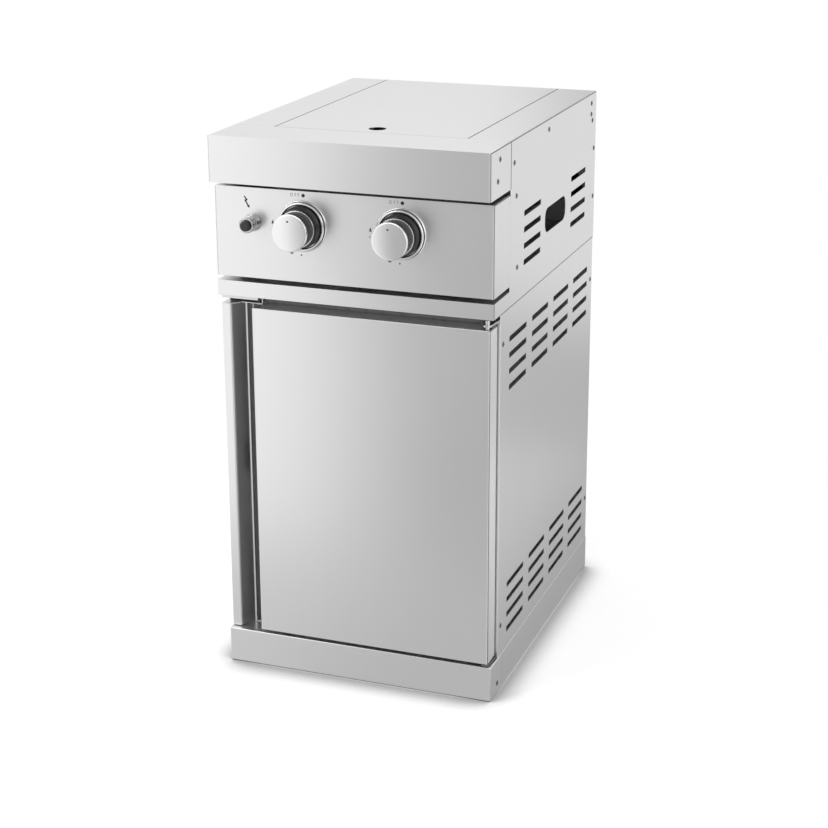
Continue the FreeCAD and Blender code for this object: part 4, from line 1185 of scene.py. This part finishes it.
class MODULE_OT_marks(bpy.types.Operator):
    """Prints the OFF words, dots, flames and the spark sign on the control panel"""

    bl_idname = "burner_module.marks"
    bl_label = "Printed marks"

    def execute(self, context):
        sizes = context.scene.module_sizes
        self.ink = sizes.ink_thick
        self.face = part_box("control_panel")[0].y
        for side, _ in SIDES:
            self.centre = centre_of(side + "_bezel")
            self.word(side + "_off_word", "OFF", self.spot(-11.6, 48.2), sizes.mark_height)
            self.dot(side + "_off_dot", self.spot(2.4, 48.2), 2.9 * MM)
            self.flame(side + "_high_flame", self.spot(-50, 3), 6 * MM, 3.6 * MM)
            self.dot(side + "_high_dot", self.spot(-51, -8.4), 1 * MM)
            self.flame(side + "_low_flame", self.spot(-18.5, -44), 2.8 * MM, 5.4 * MM)
            self.dot(side + "_low_dot", self.spot(-2.4, -46.4), 1.3 * MM)
        self.centre = centre_of("igniter_button")
        self.spark(*self.spot(-13.4, 32.4))
        return {"FINISHED"}

    def spot(self, right, above):
        """X and Z of a place, from its distances in mm to the centre in hand."""
        return self.centre.x + right * MM, self.centre.z + above * MM

    def print_face(self, name, bm, ink="ink"):
        """Gives a flat outline the thickness of the ink and lays it on the panel."""
        bmesh.ops.recalc_face_normals(bm, faces=bm.faces)
        made = bmesh.ops.extrude_face_region(bm, geom=bm.faces[:])
        verts = [v for v in made["geom"] if isinstance(v, bmesh.types.BMVert)]
        bmesh.ops.translate(bm, verts=verts, vec=(0, -self.ink, 0))
        bmesh.ops.recalc_face_normals(bm, faces=bm.faces)
        new_piece(name, bm, "cabinet", "outer_steel", ink)

    def shape(self, name, points):
        bm = bmesh.new()
        bm.faces.new([bm.verts.new((x, self.face, z)) for x, z in points])
        self.print_face(name, bm)

    def dot(self, name, spot, radius):
        bm = bmesh.new()
        flat = upright((spot[0], self.face, spot[1]))
        bmesh.ops.create_circle(bm, cap_ends=True, segments=24, radius=radius, matrix=flat)
        self.print_face(name, bm)

    def flame(self, name, spot, high, wide):
        """A curved tongue over a short bar, as on many cookers."""
        x, z = spot
        tongue = [(-0.5, 0), (-0.42, 0.4), (-0.1, 0.7), (0.05, 1), (0.3, 0.6), (0.28, 0.35), (0.5, 0)]
        bar = [(-0.6, -0.2), (0.6, -0.2), (0.6, -0.08), (-0.6, -0.08)]
        for ending, outline in (("", tongue), ("_bar", bar)):
            self.shape(name + ending, [(x + u * wide, z + (v - 0.35) * high) for u, v in outline])

    def word(self, name, text, spot, high):
        """Letters whose middle is at the spot, made flat and then turned upright."""
        curve = bpy.data.curves.new(name, "FONT")
        curve.body = text
        curve.size = high * 1.38
        curve.align_x = "CENTER"
        curve.align_y = "CENTER"
        curve.space_character = 1.6
        curve.resolution_u = 4
        bm = bmesh_of(curve)
        bmesh.ops.remove_doubles(bm, verts=bm.verts, dist=0.001 * MM)
        narrow = Matrix.Diagonal((0.86, 1, 1, 1))
        place = upright((spot[0], self.face, spot[1]))
        bmesh.ops.transform(bm, matrix=place @ narrow, verts=bm.verts)
        self.print_face(name, bm, "letter_ink")

    def spark(self, left, middle):
        """A zigzag that ends in an arrow head, above the igniter."""
        zigzag = [(0, 7.4), (3.6, 2.6), (0.8, 1.6), (4.0, -3.6), (5.6, -6.6)]
        stroke = 1.05 * MM
        for i, (start, end) in enumerate(zip(zigzag, zigzag[1:])):
            a = Vector((left + start[0] * MM, middle + start[1] * MM))
            b = Vector((left + end[0] * MM, middle + end[1] * MM))
            along = (b - a).normalized() * stroke
            across = Vector((-along.y, along.x))
            a, b = a - along, b + along
            corners = [a + across, b + across, b - across, a - across]
            self.shape(f"spark_stroke_{i}", [tuple(corner) for corner in corners])
        head = [(7.6, -10.4), (8.2, -4.8), (3.4, -7.2)]
        self.shape("spark_arrow", [(left + u * MM, middle + v * MM) for u, v in head])


# Light on matt surfaces from the world, and the glow that lifts the floor towards white.
AMBIENT = 0.5
FLOOR_GLOW = 0.37

# How far from the plinth the floor gets painted contact shade, and how dark that shade gets.
PAINTED_CONTACT_SHADE_REACH = 0.065
PAINTED_CONTACT_SHADE_TONE = 0.3

# The camera's place in metres, and its turn, tilt and roll in degrees.
CAMERA_PLACE = (1.0566, -2.861, 1.43)
CAMERA_ANGLES = (20.185, 17.17, -0.25)

# Its lens in mm, and its shift in pixels of a picture that is as wide as the photograph.
CAMERA_LENS = 81.6
CAMERA_SHIFT, PICTURE_WIDTH = -60, 828


def area_lamp(name, where, target, width, height, power):
    lamp = bpy.data.lights.new(name, "AREA")
    lamp.shape = "RECTANGLE"
    lamp.size = width
    lamp.size_y = height
    lamp.energy = power
    holder = bpy.data.objects.new(name, lamp)
    holder.location = where
    holder.rotation_euler = (Vector(target) - Vector(where)).to_track_quat("-Z", "Y").to_euler()
    bpy.context.scene.collection.objects.link(holder)


def seen_rays(graph):
    """One for rays that see the background: camera, glossy and transmission rays."""
    rays = ("Is Camera Ray", "Is Glossy Ray", "Is Transmission Ray")
    camera, glossy, through = graph.make("ShaderNodeLightPath", output=rays)
    return camera.either(glossy).either(through)


def wall(across, y, up):
    """Corners of an upright card between two X and two Z values."""
    (left, right), (low, high) = across, up
    return [(left, y, low), (right, y, low), (right, y, high), (left, y, high)]


def ground(across, along):
    """Corners of a card that lies just over the floor between two X and two Y values."""
    (left, right), (near, far), z = across, along, 1 * MM
    return [(left, near, z), (right, near, z), (right, far, z), (left, far, z)]


class MODULE_OT_studio(bpy.types.Operator):
    """Adds the floor, the world, the soft lamps, the reflection cards and the camera"""

    bl_idname = "burner_module.studio"
    bl_label = "Studio"

    def execute(self, context):
        self.floor(context.scene.module_colours.floor)
        self.world(context.scene)
        self.lamps()
        self.cards()
        self.camera(context.scene)
        context.scene.view_settings.view_transform = "Standard"
        return {"FINISHED"}

    def floor(self, colour):
        """Pale floor that keeps the module's shadow, with painted contact shade beside the module, and
        fades into the white background.
        """
        graph = material_graph("studio_floor")
        seen = seen_rays(graph)
        # Painted contact shade: ambient occlusion darkens the floor's colour and glow near the module.
        open_sky = graph.make(
            "ShaderNodeAmbientOcclusion", {"samples": 16}, {"Distance": PAINTED_CONTACT_SHADE_REACH}, output="AO"
        )
        clear = graph.ease(open_sky, 0.35, 1.0)
        tone = graph.blend(clear, scaled(colour, PAINTED_CONTACT_SHADE_TONE), colour)
        matt = graph.make("ShaderNodeBsdfDiffuse", None, {"Color": tone})
        glow = graph.make("ShaderNodeEmission", None, {"Strength": seen * clear * FLOOR_GLOW})
        near = graph.make("ShaderNodeAddShader", None, {0: matt, 1: glow})
        level = seen * (1 - AMBIENT) + AMBIENT
        far = graph.make("ShaderNodeEmission", None, {"Strength": level})
        distance = graph.make(
            "ShaderNodeVectorMath", {"operation": "LENGTH"}, {0: graph.place()}, output="Value"
        )
        fade = graph.ease(distance, 0.8, 2.2)
        graph.finish(graph.make("ShaderNodeMixShader", None, {0: fade, 1: near, 2: far}))
        bm = bmesh.new()
        bmesh.ops.create_circle(bm, cap_ends=True, segments=64, radius=14)
        placed("floor", bm, [graph.owner])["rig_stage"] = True

    def world(self, scene):
        """White to the rays that see it, and a softer light on matt surfaces."""
        world = bpy.data.worlds.new("studio_world")
        scene.world = world
        graph = Graph(world)
        level = seen_rays(graph) * (1 - AMBIENT) + AMBIENT
        white = (1, 1, 1, 1)
        glow = graph.make("ShaderNodeBackground", None, {"Color": white, "Strength": level})
        graph.make("ShaderNodeOutputWorld", None, {"Surface": glow})

    def lamps(self):
        area_lamp("key_lamp", (-1.9, -1.9, 2.3), (0, 0, 0.45), 1.6, 1.6, 26)
        area_lamp("top_lamp", (0.2, 0.3, 3.0), (0, 0, 0.4), 2.2, 2.2, 18)
        area_lamp("fill_lamp", (2.6, -1.4, 1.6), (0, 0, 0.45), 1.4, 1.8, 6)

    def cards(self):
        """Graded reflection cards, as product photographers use: only gloss sees them."""
        lo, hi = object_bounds()
        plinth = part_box("plinth_front")[0].y
        front, side, back = lo.y - 0.45, hi.y + 0.6, hi.y + 1.0
        card, right, left = self.card, (hi.x, hi.x + 1.5), (lo.x - 1.5, lo.x)
        beside = ground((hi.x, hi.x + 0.9), (lo.y, side))
        card("front_card", wall((-0.9, 0.45), front, (0, 1.3)), "X", (-0.42, 1.09), (-0.02, 0.49))
        card("front_floor_card", ground((-0.7, 0.45), (plinth, front)), "X", (-0.3, 0.68), (0.1, 0.56))
        card("side_card", wall(right, side, (0, 1.3)), "Z", (0.2, 0.5), (0.42, 0.84))
        card("side_floor_card", beside, "X", (0.25, 0.42), (0.6, 0.72))
        card("left_card", wall(left, side, (0, 1.0)), "Z", (0.15, 0.5), (0.55, 0.8))
        card("back_card", wall((-1.6, 0.6), back, (0.6, 2.0)), "X", (-0.32, 0.86), (0.02, 0.54))

    def card(self, name, corners, axis, start, end):
        """A flat card whose grey runs from one place and level to another along an axis."""
        graph = material_graph(name + "_grey")
        along = graph.axes()["XYZ".index(axis)]
        level = graph.ease(along, start[0], end[0]) * (end[1] - start[1]) + start[1]
        graph.finish(graph.make("ShaderNodeEmission", None, {"Strength": level}))
        bm = bmesh.new()
        bm.faces.new([bm.verts.new(corner) for corner in corners])
        card = placed(name, bm, [graph.owner])
        for ray in ("camera", "shadow", "diffuse", "transmission"):
            setattr(card, "visible_" + ray, False)
        card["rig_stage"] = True

    def camera(self, scene):
        """Camera fitted to the corners of the cap, the door and the plinth in the photograph."""
        turn, tilt, roll = (math.radians(angle) for angle in CAMERA_ANGLES)
        data = bpy.data.cameras.new("camera")
        data.lens = CAMERA_LENS
        data.sensor_width = 36
        data.shift_y = CAMERA_SHIFT / PICTURE_WIDTH
        camera = bpy.data.objects.new("camera", data)
        aim = Matrix.Rotation(turn, 4, "Z") @ Matrix.Rotation(math.pi / 2 - tilt, 4, "X")
        place = Matrix.Translation(CAMERA_PLACE)
        camera.matrix_world = place @ aim @ Matrix.Rotation(roll, 4, "Z")
        scene.collection.objects.link(camera)
        scene.camera = camera


class MODULE_PT_panel(bpy.types.Panel):
    """Sizes, colours and steps of the burner module"""

    bl_idname = "MODULE_PT_panel"
    bl_label = "Burner Module"
    bl_space_type = "VIEW_3D"
    bl_region_type = "UI"
    bl_category = "Burner Module"

    def draw(self, context):
        for group in (context.scene.module_sizes, context.scene.module_colours):
            column = self.layout.column()
            for name in group.__annotations__:
                column.prop(group, name)
        for step in STEPS:
            self.layout.operator(step.bl_idname)


STEPS = (
    MODULE_OT_finishes,
    MODULE_OT_sheets,
    MODULE_OT_hardware,
    MODULE_OT_burners,
    MODULE_OT_knobs,
    MODULE_OT_igniter,
    MODULE_OT_springs,
    MODULE_OT_seals,
    MODULE_OT_screws,
    MODULE_OT_marks,
    MODULE_OT_studio,
)
CLASSES = (ModuleSizes, ModuleColours, *STEPS, MODULE_PT_panel)


def register():
    for kind in CLASSES:
        bpy.utils.register_class(kind)
    bpy.types.Scene.module_sizes = bpy.props.PointerProperty(type=ModuleSizes)
    bpy.types.Scene.module_colours = bpy.props.PointerProperty(type=ModuleColours)


def unregister():
    del bpy.types.Scene.module_colours
    del bpy.types.Scene.module_sizes
    for kind in reversed(CLASSES):
        bpy.utils.unregister_class(kind)


def main():
    register()
    for step in STEPS:
        family, name = step.bl_idname.split(".")
        getattr(getattr(bpy.ops, family), name)()


if __name__ == "__main__":
    main()
